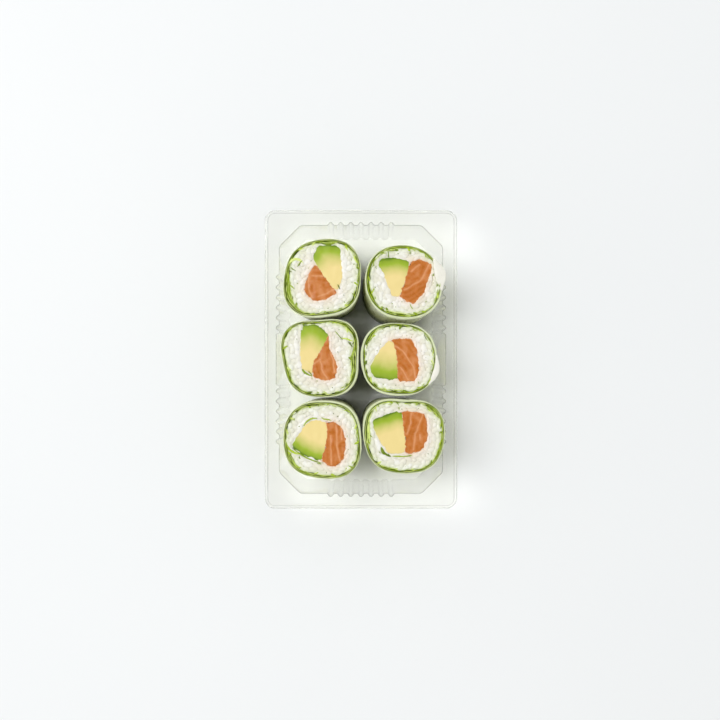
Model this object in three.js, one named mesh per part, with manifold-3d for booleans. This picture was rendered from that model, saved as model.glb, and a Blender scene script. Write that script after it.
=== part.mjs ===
// Takeaway sushi tray: a clear fluted tray filled with six cut rice-paper rolls standing on end,
// each with lettuce, rice, an avocado wedge and a block of salmon.
// Millimetres, +Z up, +Y along the tray. Origin: middle of the footprint, on the table.

import * as THREE from 'three';
import { mergeVertices } from 'three/addons/utils/BufferGeometryUtils.js';
import Module from 'manifold-3d';

const wasm = await Module();
wasm.setup();

// ---- driving dimensions -------------------------------------------------------------------

const SHEET = 0.5;              // thickness of the thermoformed sheet
const RIM_Z = 28;               // top of the flat rim

const WELL = {
  halfWidth: 43.05,             // mouth of the well, middle of the tray to a long wall
  halfLength: 70.75,            // and to a short wall
  corner: 11.1,                 // leg of the 45 degree corner
  draft: 3.8,                   // how far each wall leans in on its way down
  foot: 0.8,                    // slant where wall meets floor
};

const FLUTE = {
  pitch: 5.36,
  width: 3.6,
  depth: 1.65,
  segments: 4,                  // faces round one scallop
  perShortWall: 7,
  perGroup: 6,                  // a long wall has a group each side of its plain panel
  panelHalf: 13.6,              // half length of that panel, pressed out as deep as the flutes
  panelRamp: 0.6,
  footShare: 0.6,               // depth left at the foot of the wall
};

const RIM = {
  halfWidth: 51.2,
  halfLength: 79.3,
  radius: 6,
  cornerSteps: 5,
  skirt: 2.4,                   // how far the outer edge turns down below the rim
  bead: 1.0,                    // height of the raised bead along the edge
  beadInset: 2.6,               // where the bead starts, in from the edge
};

const GAP = 0.3;                // air between neighbouring layers
const SIDES = 28;               // faces round each wrapped layer
const PAPER = 0.5;              // wrapper, one turn
const PAPER_OVERLAP = 0.5;      // extra turns on the side that faces the middle of the tray
const LEAF = 0.7;               // lettuce
const RIPPLE = 0.3;             // swing of the lettuce's waves
const RIPPLES = 7;
const RICE_BRIDGE = 1.1;        // least rice left outside a filling
const CORNER_CUT = 0.16;        // share of each side taken off a filling's corners

const GRAIN = { length: 5.6, width: 2.7, around: 5, rings: 3, perRoll: 35, spread: 40, stand: 0.35 };

// One entry for each roll. top and base: centre at the cut face and at the floor. squeeze: width
// and length at the floor against the cut face. height: of the cut face. tilt: its slope.
// radius and lobes: the outline, as mean radius and cosine and sine of 2, 3 and 4 lobes.
// folds: extra lettuce [direction in degrees, half angle, thickness]. flap: loose wrapper, alike.
// avocado and salmon: corners of the two fillings from the roll's centre.
const ROLLS = [
  {
    top: [-19.8, 41.6], base: [-19.05, 41.1], squeeze: [0.93, 0.965], height: 40.3, tilt: [0.012, 0.01],
    radius: 20.95, lobes: [-0.08, 0.93, -0.05, -0.27, -0.75, -0.02],
    folds: [[202, 50, 2.5], [83, 20, 0.9]], flap: [0, 1, 0],
    avocado: [[-5.2, 11.2], [-0.8, 3.7], [5.1, -4.5], [8, -5.8], [10.3, 1.5], [9.2, 17], [-2.3, 17.1]],
    salmon: [[-3.9, 7.8], [-7.8, 1.4], [-9.9, -6.3], [-4.6, -11.7], [3, -10.5], [7.5, -6.8], [5.1, -4.5],
      [-0.8, 3.7]],
  },
  {
    top: [22, 39.7], base: [19.4, 36.9], squeeze: [0.945, 0.965], height: 40.9, tilt: [-0.03, -0.03],
    radius: 19.98, lobes: [0.34, -0.44, 0.02, -0.07, -0.35, -0.05],
    folds: [[262, 22, 0.6], [198, 22, 0.4], [108, 14, 1]], flap: [13, 26, 2.3],
    avocado: [[-12.7, 8.5], [-9.4, 2.3], [-6.2, -7.2], [-2.5, -7.5], [0.7, 0.7], [3.2, 10.8], [-4, 12.6],
      [-12.3, 12]],
    salmon: [[3.2, 10.8], [0.7, 0.7], [-2.5, -7.5], [4.8, -11.6], [10.4, -6], [12.3, 0], [14.5, 6.8],
      [13.8, 10], [8, 12]],
  },
  {
    top: [-20.6, 1.1], base: [-18.95, 0.9], squeeze: [0.93, 0.96], height: 39.8, tilt: [-0.01, 0.015],
    radius: 21.18, lobes: [-0.1, -0.24, -0.4, 0.67, -1.16, -0.3],
    folds: [[-10, 44, 1.9], [50, 20, 0.9], [205, 20, 0.5]], flap: [0, 1, 0],
    avocado: [[-10.8, 16.9], [-10.8, -5.2], [-4.6, -8.6], [-4.4, -3.5], [-0.1, 3.8], [4.2, 12], [-2, 16.8]],
    salmon: [[4.2, 12], [-0.1, 3.8], [-4.4, -3.5], [-4.2, -10.6], [3.6, -12.1], [7, -11.1], [9, -5.2],
      [5.2, 3], [4, 8]],
  },
  {
    top: [19.4, 0.2], base: [19.1, -0.9], squeeze: [0.945, 0.96], height: 40.6, tilt: [0.015, -0.01],
    radius: 19.93, lobes: [0.43, -0.25, 0.09, 0.18, -0.58, -0.02],
    folds: [[142, 20, 1], [270, 24, 0.8]], flap: [-17, 24, 1.6],
    avocado: [[-5.5, 9.6], [-10.6, 3.7], [-14.8, -4.3], [-12.5, -9.6], [-0.9, -11.4], [-0.5, -5],
      [-1.4, 4.7], [-2.4, 8.3]],
    salmon: [[-4.8, 9.9], [-2.4, 8.3], [-1.4, 4.7], [-0.5, -5], [-0.9, -11.4], [8.8, -11.8], [10.8, -5],
      [9, 5.5], [6.4, 10.8]],
  },
  {
    top: [-19.6, -41.4], base: [-19, -41.1], squeeze: [0.925, 0.965], height: 39.6, tilt: [0.01, -0.015],
    radius: 21.1, lobes: [0.01, -0.26, -0.33, -0.07, -0.75, 0.03],
    folds: [[105, 26, 0.7], [212, 24, 1.2], [255, 20, 0.6]], flap: [0, 1, 0],
    avocado: [[-10, 6.6], [-14.2, 0.5], [-16.2, -3.4], [-10, -8], [-1, -11.1], [1, -4.5], [2.4, 5],
      [1.1, 9.2], [-4.6, 10.5]],
    salmon: [[2.4, 5], [1, -4.5], [-1, -11.1], [3.9, -14], [7, -14.2], [11, -9.5], [11.8, -4], [10.7, 5.5],
      [6.5, 9.1], [1.1, 9.2]],
  },
  {
    top: [22.1, -39.1], base: [19.3, -39.5], squeeze: [0.89, 0.96], height: 40.5, tilt: [-0.015, 0.01],
    radius: 21.1, lobes: [0.92, -0.41, 0.06, 0.56, -0.84, 0.02],
    folds: [[172, 28, 1.4], [42, 18, 1.8], [247, 18, 0.6], [-28, 18, 0.5]], flap: [0, 1, 0],
    avocado: [[-15.8, 4.2], [-12.3, -2.9], [-8, -9.3], [0.3, -9.1], [0.9, -4.4], [0, 2.8], [-1.2, 11.5],
      [-3, 12.8], [-16, 8]],
    salmon: [[-1.2, 11.5], [0, 2.8], [0.9, -4.4], [0.3, -9.1], [4, -9.4], [9.5, -7.5], [12.1, -2.4],
      [12, 7.9], [10.5, 11.5], [0.5, 12.8]],
  },
];

// ---- small tools --------------------------------------------------------------------------

const rad = THREE.MathUtils.degToRad;
const lerp = THREE.MathUtils.lerp;
const vec2 = (x, y) => new THREE.Vector2(x, y);

function geometry(points, faces) {
  const g = new THREE.BufferGeometry();
  g.setAttribute('position', new THREE.Float32BufferAttribute(points.flatMap((p) => [p.x, p.y, p.z]), 3));
  g.setIndex(faces.flat());
  return g;
}

// Closed solid through level outlines, listed upwards as { z, outline } with counterclockwise points.
function loft(levels) {
  const n = levels[0].outline.length;
  const points = levels.flatMap(({ z, outline }) => outline.map((p) => new THREE.Vector3(p.x, p.y, z)));
  const faces = [];
  for (let k = 0; k + 1 < levels.length; k++) {
    for (let i = 0; i < n; i++) {
      const a = k * n + i, b = k * n + (i + 1) % n;
      faces.push([a, b, b + n], [a, b + n, a + n]);
    }
  }
  const last = (levels.length - 1) * n;
  for (const [a, b, c] of THREE.ShapeUtils.triangulateShape(levels[0].outline, [])) faces.push([a, c, b]);
  for (const [a, b, c] of THREE.ShapeUtils.triangulateShape(levels.at(-1).outline, [])) {
    faces.push([last + a, last + b, last + c]);
  }
  return geometry(points, faces);
}

// Closed ring: sections are the points of a closed cross-section, each swept round the same count.
function sweepRing(sections) {
  const m = sections.length, n = sections[0].length;
  const points = sections.flat();
  const faces = [];
  for (let k = 0; k < m; k++) {
    for (let i = 0; i < n; i++) {
      const a = k * n + i, b = k * n + (i + 1) % n;
      const c = ((k + 1) % m) * n + (i + 1) % n, d = ((k + 1) % m) * n + i;
      faces.push([a, b, c], [a, c, d]);
    }
  }
  return geometry(points, faces);
}

function toSolid(g) {
  let plain = g.clone();
  plain.deleteAttribute('normal');
  plain.deleteAttribute('uv');
  plain = mergeVertices(plain, 1e-4);
  return new wasm.Manifold(new wasm.Mesh({
    numProp: 3,
    vertProperties: Float32Array.from(plain.attributes.position.array),
    triVerts: Uint32Array.from(plain.index.array),
  }));
}

function toGeometry(solid) {
  const m = solid.getMesh();
  const g = new THREE.BufferGeometry();
  g.setAttribute('position', new THREE.BufferAttribute(Float32Array.from(m.vertProperties), 3));
  g.setIndex(Array.from(m.triVerts));
  return g;
}

function prism(outline, z0, z1) {
  const g = new THREE.ExtrudeGeometry(new THREE.Shape(outline), { depth: z1 - z0, bevelEnabled: false });
  return g.translate(0, 0, z0);
}

function seededRandom(seed) {
  let s = seed;
  return () => {
    s = (s + 0x6d2b79f5) | 0;
    let t = Math.imul(s ^ (s >>> 15), 1 | s);
    t = (t + Math.imul(t ^ (t >>> 7), 61 | t)) ^ t;
    return ((t ^ (t >>> 14)) >>> 0) / 4294967296;
  };
}

// ---- tray ---------------------------------------------------------------------------------

// Swells of one wall as [distance along it, share of the flute depth], and how wide they are.
function wallSwells(isLong, widen) {
  const swells = [];
  const scallop = (middle) => {
    for (let k = 0; k <= FLUTE.segments; k++) {
      const turn = Math.PI * k / FLUTE.segments;
      swells.push([middle - Math.cos(turn) * (FLUTE.width / 2 + widen), Math.sin(turn)]);
    }
  };
  if (!isLong) {
    for (let i = 0; i < FLUTE.perShortWall; i++) scallop((i - (FLUTE.perShortWall - 1) / 2) * FLUTE.pitch);
    return swells;
  }
  const start = FLUTE.panelHalf + 0.45;
  for (let i = FLUTE.perGroup; i-- > 0;) scallop(-start - (i + 0.5) * FLUTE.pitch);
  const half = FLUTE.panelHalf + widen / 2, ramp = FLUTE.panelRamp;
  swells.push([-half - ramp, 0], [-half + ramp, 1], [half - ramp, 1], [half + ramp, 0]);
  for (let i = 0; i < FLUTE.perGroup; i++) scallop(start + (i + 0.5) * FLUTE.pitch);
  return swells;
}

// Outline of the well, moved outwards by offset, with its flutes swelling out by depth.
function wellOutline(offset, depth, widen) {
  const a = WELL.halfWidth + offset, b = WELL.halfLength + offset;
  const c = WELL.corner + offset * (2 - Math.SQRT2);
  const walls = [[1, 0, a, b], [0, 1, b, a], [-1, 0, a, b], [0, -1, b, a]];
  const points = [];
  for (const [nx, ny, out, along] of walls) {
    const isLong = nx !== 0;
    const run = along - c;
    const at = (s, w) => points.push(vec2(nx * (out + w * depth) - ny * s, ny * (out + w * depth) + nx * s));
    at(-run, 0);
    for (const [s, w] of wallSwells(isLong, widen)) at(s, w);
    at(run, 0);
  }
  return points;
}

// Rounded rectangle of the rim's edge, moved in by inset.
function rimOutline(inset) {
  const r = Math.max(RIM.radius - inset, 0.5);
  const x = RIM.halfWidth - inset - r, y = RIM.halfLength - inset - r;
  const points = [];
  for (const [sx, sy, from] of [[1, -1, -90], [1, 1, 0], [-1, 1, 90], [-1, -1, 180]]) {
    for (let k = 0; k <= RIM.cornerSteps; k++) {
      const turn = rad(from + 90 * k / RIM.cornerSteps);
      points.push(vec2(sx * x + r * Math.cos(turn), sy * y + r * Math.sin(turn)));
    }
  }
  return points;
}

function buildTray() {
  const { draft, foot } = WELL;
  const share = FLUTE.footShare;
  const wall = toSolid(loft([
    { z: 0, outline: wellOutline(-draft - foot + SHEET * 0.7, 0.05, 0.3) },
    { z: foot, outline: wellOutline(-draft + SHEET, FLUTE.depth * share, 0.3) },
    { z: RIM_Z - SHEET / 2, outline: wellOutline(SHEET, FLUTE.depth, 0.3) },
  ]));
  const inside = toSolid(loft([
    { z: SHEET, outline: wellOutline(-draft - foot, 0.05, 0) },
    { z: SHEET + foot, outline: wellOutline(-draft, FLUTE.depth * share, 0) },
    { z: RIM_Z, outline: wellOutline(0, FLUTE.depth, 0) },
    { z: RIM_Z + 2, outline: wellOutline(0.3, FLUTE.depth, 0) },
  ]));
  const plate = toSolid(prism(rimOutline(RIM.beadInset - 0.1), RIM_Z - SHEET, RIM_Z));

  // cross-section of the edge: flat rim, raised bead, turned-down skirt, and back underneath
  const low = RIM_Z - RIM.skirt, high = RIM_Z + RIM.bead;
  const section = [
    [RIM.beadInset + 0.2, RIM_Z - SHEET], [RIM.beadInset - 0.3, RIM_Z - SHEET],
    [RIM.beadInset - 0.7, high - SHEET], [1.1, high - SHEET], [SHEET + 0.2, high - 1.1], [SHEET, low],
    [0, low], [0.15, high - 0.8], [0.75, high], [RIM.beadInset - 0.4, high],
    [RIM.beadInset, RIM_Z], [RIM.beadInset + 0.2, RIM_Z],
  ];
  const edge = toSolid(sweepRing(section.map(([inset, z]) =>
    rimOutline(inset).map((p) => new THREE.Vector3(p.x, p.y, z)))));
  return toGeometry(plate.add(edge).add(wall).subtract(inside));
}

// ---- rolls --------------------------------------------------------------------------------

function bump(angle, [centre, half, height]) {
  const away = Math.abs(((angle * 180 / Math.PI - centre + 540) % 360) - 180);
  return away < half ? height * Math.cos(away / half * Math.PI / 2) ** 2 : 0;
}

// Radii of a roll's layers at one angle; t is 0 at the floor and 1 at the cut face.
function layers(roll, angle, t = 1) {
  const [c2, s2, c3, s3, c4, s4] = roll.lobes;
  const body = roll.radius
    + c2 * Math.cos(2 * angle) + s2 * Math.sin(2 * angle)
    + c3 * Math.cos(3 * angle) + s3 * Math.sin(3 * angle)
    + c4 * Math.cos(4 * angle) + s4 * Math.sin(4 * angle);
  const inward = Math.atan2(-roll.top[1], -roll.top[0]);
  const paperIn = body - PAPER - PAPER_OVERLAP * Math.max(0, Math.cos(angle - inward));
  const wave = RIPPLE * (0.5 + 0.5 * Math.sin(RIPPLES * angle + roll.top[1] + 1.5 * t));
  const fold = roll.folds.reduce((sum, f) => sum + bump(angle, f), 0);
  return {
    paperOut: body + t * bump(angle, roll.flap),
    paperIn,
    leafOut: paperIn - GAP - wave,
    leafIn: paperIn - GAP - wave - LEAF - fold,
    rice: paperIn - 2 * GAP - RIPPLE - LEAF - fold,
  };
}

// From a roll's own frame (u, v across, t up, 0 to 1) to the tray's.
function place(roll, u, v, t) {
  const x = lerp(roll.base[0], roll.top[0], t) + u * lerp(roll.squeeze[0], 1, t);
  const y = lerp(roll.base[1], roll.top[1], t) + v * lerp(roll.squeeze[1], 1, t);
  const face = roll.height + roll.tilt[0] * u + roll.tilt[1] * v;
  return new THREE.Vector3(x, y, lerp(SHEET + GAP, face, t));
}

const ANGLES = Array.from({ length: SIDES }, (_, i) => 2 * Math.PI * i / SIDES);

function wrap(roll, outer, inner) {
  const ring = (key, t) => ANGLES.map((angle) => {
    const r = layers(roll, angle, t)[key];
    return place(roll, r * Math.cos(angle), r * Math.sin(angle), t);
  });
  return sweepRing([ring(outer, 0), ring(outer, 1), ring(inner, 1), ring(inner, 0)]);
}

// Corners kept inside the rice, then each one cut off to two.
function fillingOutline(roll, corners) {
  const kept = corners.map(([u, v]) => {
    const angle = Math.atan2(v, u);
    const reach = Math.min(Math.hypot(u, v), layers(roll, angle).rice - RICE_BRIDGE);
    return vec2(reach * Math.cos(angle), reach * Math.sin(angle));
  });
  return kept.flatMap((p, i) => {
    const before = kept[(i + kept.length - 1) % kept.length], after = kept[(i + 1) % kept.length];
    return [p.clone().lerp(before, CORNER_CUT), p.clone().lerp(after, CORNER_CUT)];
  });
}

function offsetOutline(points, distance) {
  return points.map((p, i) => {
    const before = points[(i + points.length - 1) % points.length], after = points[(i + 1) % points.length];
    const d1 = p.clone().sub(before).normalize(), d2 = after.clone().sub(p).normalize();
    const n1 = vec2(d1.y, -d1.x), n2 = vec2(d2.y, -d2.x);
    const sum = n1.clone().add(n2);
    return p.clone().add(sum.multiplyScalar(distance / Math.max(1 + n1.dot(n2), 0.35)));
  });
}

// A block running through the roll from floor to cut face.
function block(roll, outline) {
  const g = prism(outline, 0, 1);
  const p = g.attributes.position;
  for (let i = 0; i < p.count; i++) {
    const q = place(roll, p.getX(i), p.getY(i), p.getZ(i));
    p.setXYZ(i, q.x, q.y, q.z);
  }
  return g;
}

function distanceToOutline(point, outline) {
  let best = Infinity;
  outline.forEach((a, i) => {
    const b = outline[(i + 1) % outline.length];
    const along = b.clone().sub(a);
    const share = THREE.MathUtils.clamp(point.clone().sub(a).dot(along) / along.lengthSq(), 0, 1);
    best = Math.min(best, a.clone().addScaledVector(along, share).distanceTo(point));
  });
  return best;
}

function isInside(point, outline) {
  let inside = false;
  outline.forEach((a, i) => {
    const b = outline[(i + 1) % outline.length];
    if ((a.y > point.y) !== (b.y > point.y)
      && point.x < (b.x - a.x) * (point.y - a.y) / (b.y - a.y) + a.x) inside = !inside;
  });
  return inside;
}

// Spots for grains, spread evenly over the rice: each is the farthest from the others of many tries.
function grainSpots(random, rim, holes) {
  const reach = Math.max(...rim.map((p) => p.length()));
  const spots = [];
  while (spots.length < GRAIN.perRoll) {
    let best = null, bestAway = -1;
    for (let k = 0; k < GRAIN.spread; k++) {
      const p = vec2((2 * random() - 1) * reach, (2 * random() - 1) * reach);
      if (!isInside(p, rim) || holes.some((hole) => isInside(p, hole))) continue;
      const edge = Math.min(distanceToOutline(p, rim), ...holes.map((hole) => distanceToOutline(p, hole)));
      if (edge < 1) continue;
      const away = Math.min(99, 2.4 * edge, ...spots.map((q) => q.distanceTo(p)));
      if (away > bestAway) [best, bestAway] = [p, away];
    }
    if (best) spots.push(best);
  }
  return spots;
}

function buildRice(roll, seed, holes) {
  const random = seededRandom(seed);
  const deep = roll.height - SHEET - GAP;
  const rim = ANGLES.map((angle) => {
    const r = layers(roll, angle).rice;
    return vec2(r * Math.cos(angle), r * Math.sin(angle));
  });
  let rice = toSolid(prism(rim, 0, deep));
  const turn = new THREE.Euler();
  for (const spot of grainSpots(random, rim, holes)) {
    const grain = new THREE.SphereGeometry(1, GRAIN.around, GRAIN.rings);
    const size = 0.9 + 0.2 * random();
    grain.scale(GRAIN.width / 2 * size, GRAIN.length / 2 * size, GRAIN.width / 2 * size);
    const standing = random() < GRAIN.stand;
    turn.set(rad(standing ? 60 + 30 * random() : 36 * random() - 18), 0, rad(360 * random()), 'ZXY');
    grain.applyMatrix4(new THREE.Matrix4().makeRotationFromEuler(turn));
    const proud = standing ? GRAIN.length * 0.5 * 0.9 - 0.9 : 0.25 + 0.3 * random();
    grain.translate(spot.x, spot.y, deep - proud);
    rice = rice.add(toSolid(grain));
  }
  rice = rice.intersect(toSolid(prism(rim, 0, deep + 3)));
  for (const hole of holes) rice = rice.subtract(toSolid(prism(hole, -1, deep + 4)));
  const g = toGeometry(rice);
  const p = g.attributes.position;
  for (let i = 0; i < p.count; i++) {
    const q = place(roll, p.getX(i), p.getY(i), p.getZ(i) / deep);
    p.setXYZ(i, q.x, q.y, q.z);
  }
  return g;
}

// ---- assembly -----------------------------------------------------------------------------

const look = (color, roughness, extra = {}) =>
  new THREE.MeshStandardMaterial({ color, roughness, metalness: 0, ...extra });

const LOOKS = {
  tray: () => look('#e3e7e3', 0.06, { transparent: true, opacity: 0.35 }),
  paper: () => look('#c3cf9c', 0.3),
  lettuce: () => look('#7da52c', 0.4),
  rice: () => look('#ecebe0', 0.45),
  avocado: () => look('#dcd67c', 0.4),
  salmon: () => look('#d9783a', 0.35),
};

const part = new THREE.Group();

function addMesh(name, g, material) {
  const mesh = new THREE.Mesh(g, material);
  mesh.name = name;
  part.add(mesh);
}

addMesh('tray', buildTray(), LOOKS.tray());

ROLLS.forEach((roll, index) => {
  const n = index + 1;
  const avocado = fillingOutline(roll, roll.avocado);
  const salmon = fillingOutline(roll, roll.salmon);
  const holes = [avocado, salmon].map((outline) => offsetOutline(outline, GAP / 2));
  addMesh(`rice_paper_${n}`, wrap(roll, 'paperOut', 'paperIn'), LOOKS.paper());
  addMesh(`lettuce_${n}`, wrap(roll, 'leafOut', 'leafIn'), LOOKS.lettuce());
  addMesh(`rice_${n}`, buildRice(roll, 100 + n, holes), LOOKS.rice());
  addMesh(`avocado_${n}`, block(roll, offsetOutline(avocado, -GAP / 2)), LOOKS.avocado());
  addMesh(`salmon_${n}`, block(roll, offsetOutline(salmon, -GAP / 2)), LOOKS.salmon());
});

export default part;
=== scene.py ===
import random
from math import atan2, cos, degrees, exp, hypot, pi, radians, sin, sqrt

import bmesh
import bpy
import numpy as np
from mathutils import Euler, Matrix, Vector, noise


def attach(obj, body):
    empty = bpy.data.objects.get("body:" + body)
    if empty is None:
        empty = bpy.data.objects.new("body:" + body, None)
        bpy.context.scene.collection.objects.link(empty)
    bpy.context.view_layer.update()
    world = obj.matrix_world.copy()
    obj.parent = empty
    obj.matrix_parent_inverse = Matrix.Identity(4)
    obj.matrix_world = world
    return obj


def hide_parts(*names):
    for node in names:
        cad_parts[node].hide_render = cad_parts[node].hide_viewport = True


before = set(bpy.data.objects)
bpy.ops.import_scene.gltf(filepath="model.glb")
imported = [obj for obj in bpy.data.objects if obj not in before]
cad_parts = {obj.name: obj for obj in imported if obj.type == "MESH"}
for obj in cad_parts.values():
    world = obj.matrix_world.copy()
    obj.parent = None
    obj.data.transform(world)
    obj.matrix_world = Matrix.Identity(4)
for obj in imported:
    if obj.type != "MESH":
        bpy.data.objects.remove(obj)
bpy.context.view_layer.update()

bl_info = {
    "name": "Takeaway Sushi Tray",
    "version": (1, 0, 0),
    "blender": (4, 5, 0),
    "location": "3D Viewport > Sidebar > Sushi Tray",
    "description": "Dresses a clear fluted tray of six cut rice-paper rolls",
    "category": "Object",
}

MM = 0.001                      # every size below is in millimetres

# ---- sizes of the clear tray --------------------------------------------------------------

SHEET = 0.5                     # thermoformed sheet
RIM_Z = 28.0                    # top of the flat rim
WELL = dict(half_width=43.05, half_length=70.75, corner=11.1, draft=3.8, foot=0.8)
FLUTE = dict(pitch=5.36, half=1.944, depth=1.65, per_short_wall=7, per_group=6, foot_share=0.6, faces=12)
PANEL = dict(half=13.6, ramp=0.6, land=0.45)    # plain middle of a long wall, and the land beside it
GUARD = 0.4                     # keeps the bend of the end flutes from shading the flat wall
RIM = dict(half_width=51.2, half_length=79.3, radius=6.0)
CORNER_FILLET = 1.4             # softening of the eight upright edges of the well
FILLET_STEPS, CORNER_STEPS = 4, 9
CORNER_POINTS = 2 * FILLET_STEPS + CORNER_STEPS + 1

# Section of the edge from the flat rim over the raised bead and down the skirt: (inset, height).
EDGE = ((3.4, 0.0), (2.85, 0.0), (2.62, 0.06), (2.46, 0.3), (2.32, 0.66), (2.12, 0.93), (1.85, 1.0),
        (1.35, 1.0), (0.95, 0.98), (0.62, 0.82), (0.34, 0.48), (0.17, 0.02), (0.08, -0.9), (0.0, -2.4))

# ---- sizes of the rolls -------------------------------------------------------------------

FLOOR = 0.8                     # the rolls stand on the tray's floor, just clear of it
GAP = 0.3                       # between wrapper, leaf and rice
PAPER = 0.5                     # wrapper, one turn
PAPER_OVERLAP = 0.5             # extra turns on the side that faces the middle of the tray
LEAF = 0.7                      # one turn of lettuce
RIPPLE = 0.3                    # room for its waves
RICE_BRIDGE = 0.3               # least rice left outside a filling
CORNER_CUT = 0.16               # share of a side taken off at each corner of a filling
ROUND = 144                     # faces round a wrapper or a leaf
ROW_GAP = 20.6                  # from the middle of the tray to the gaps between its rows

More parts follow.
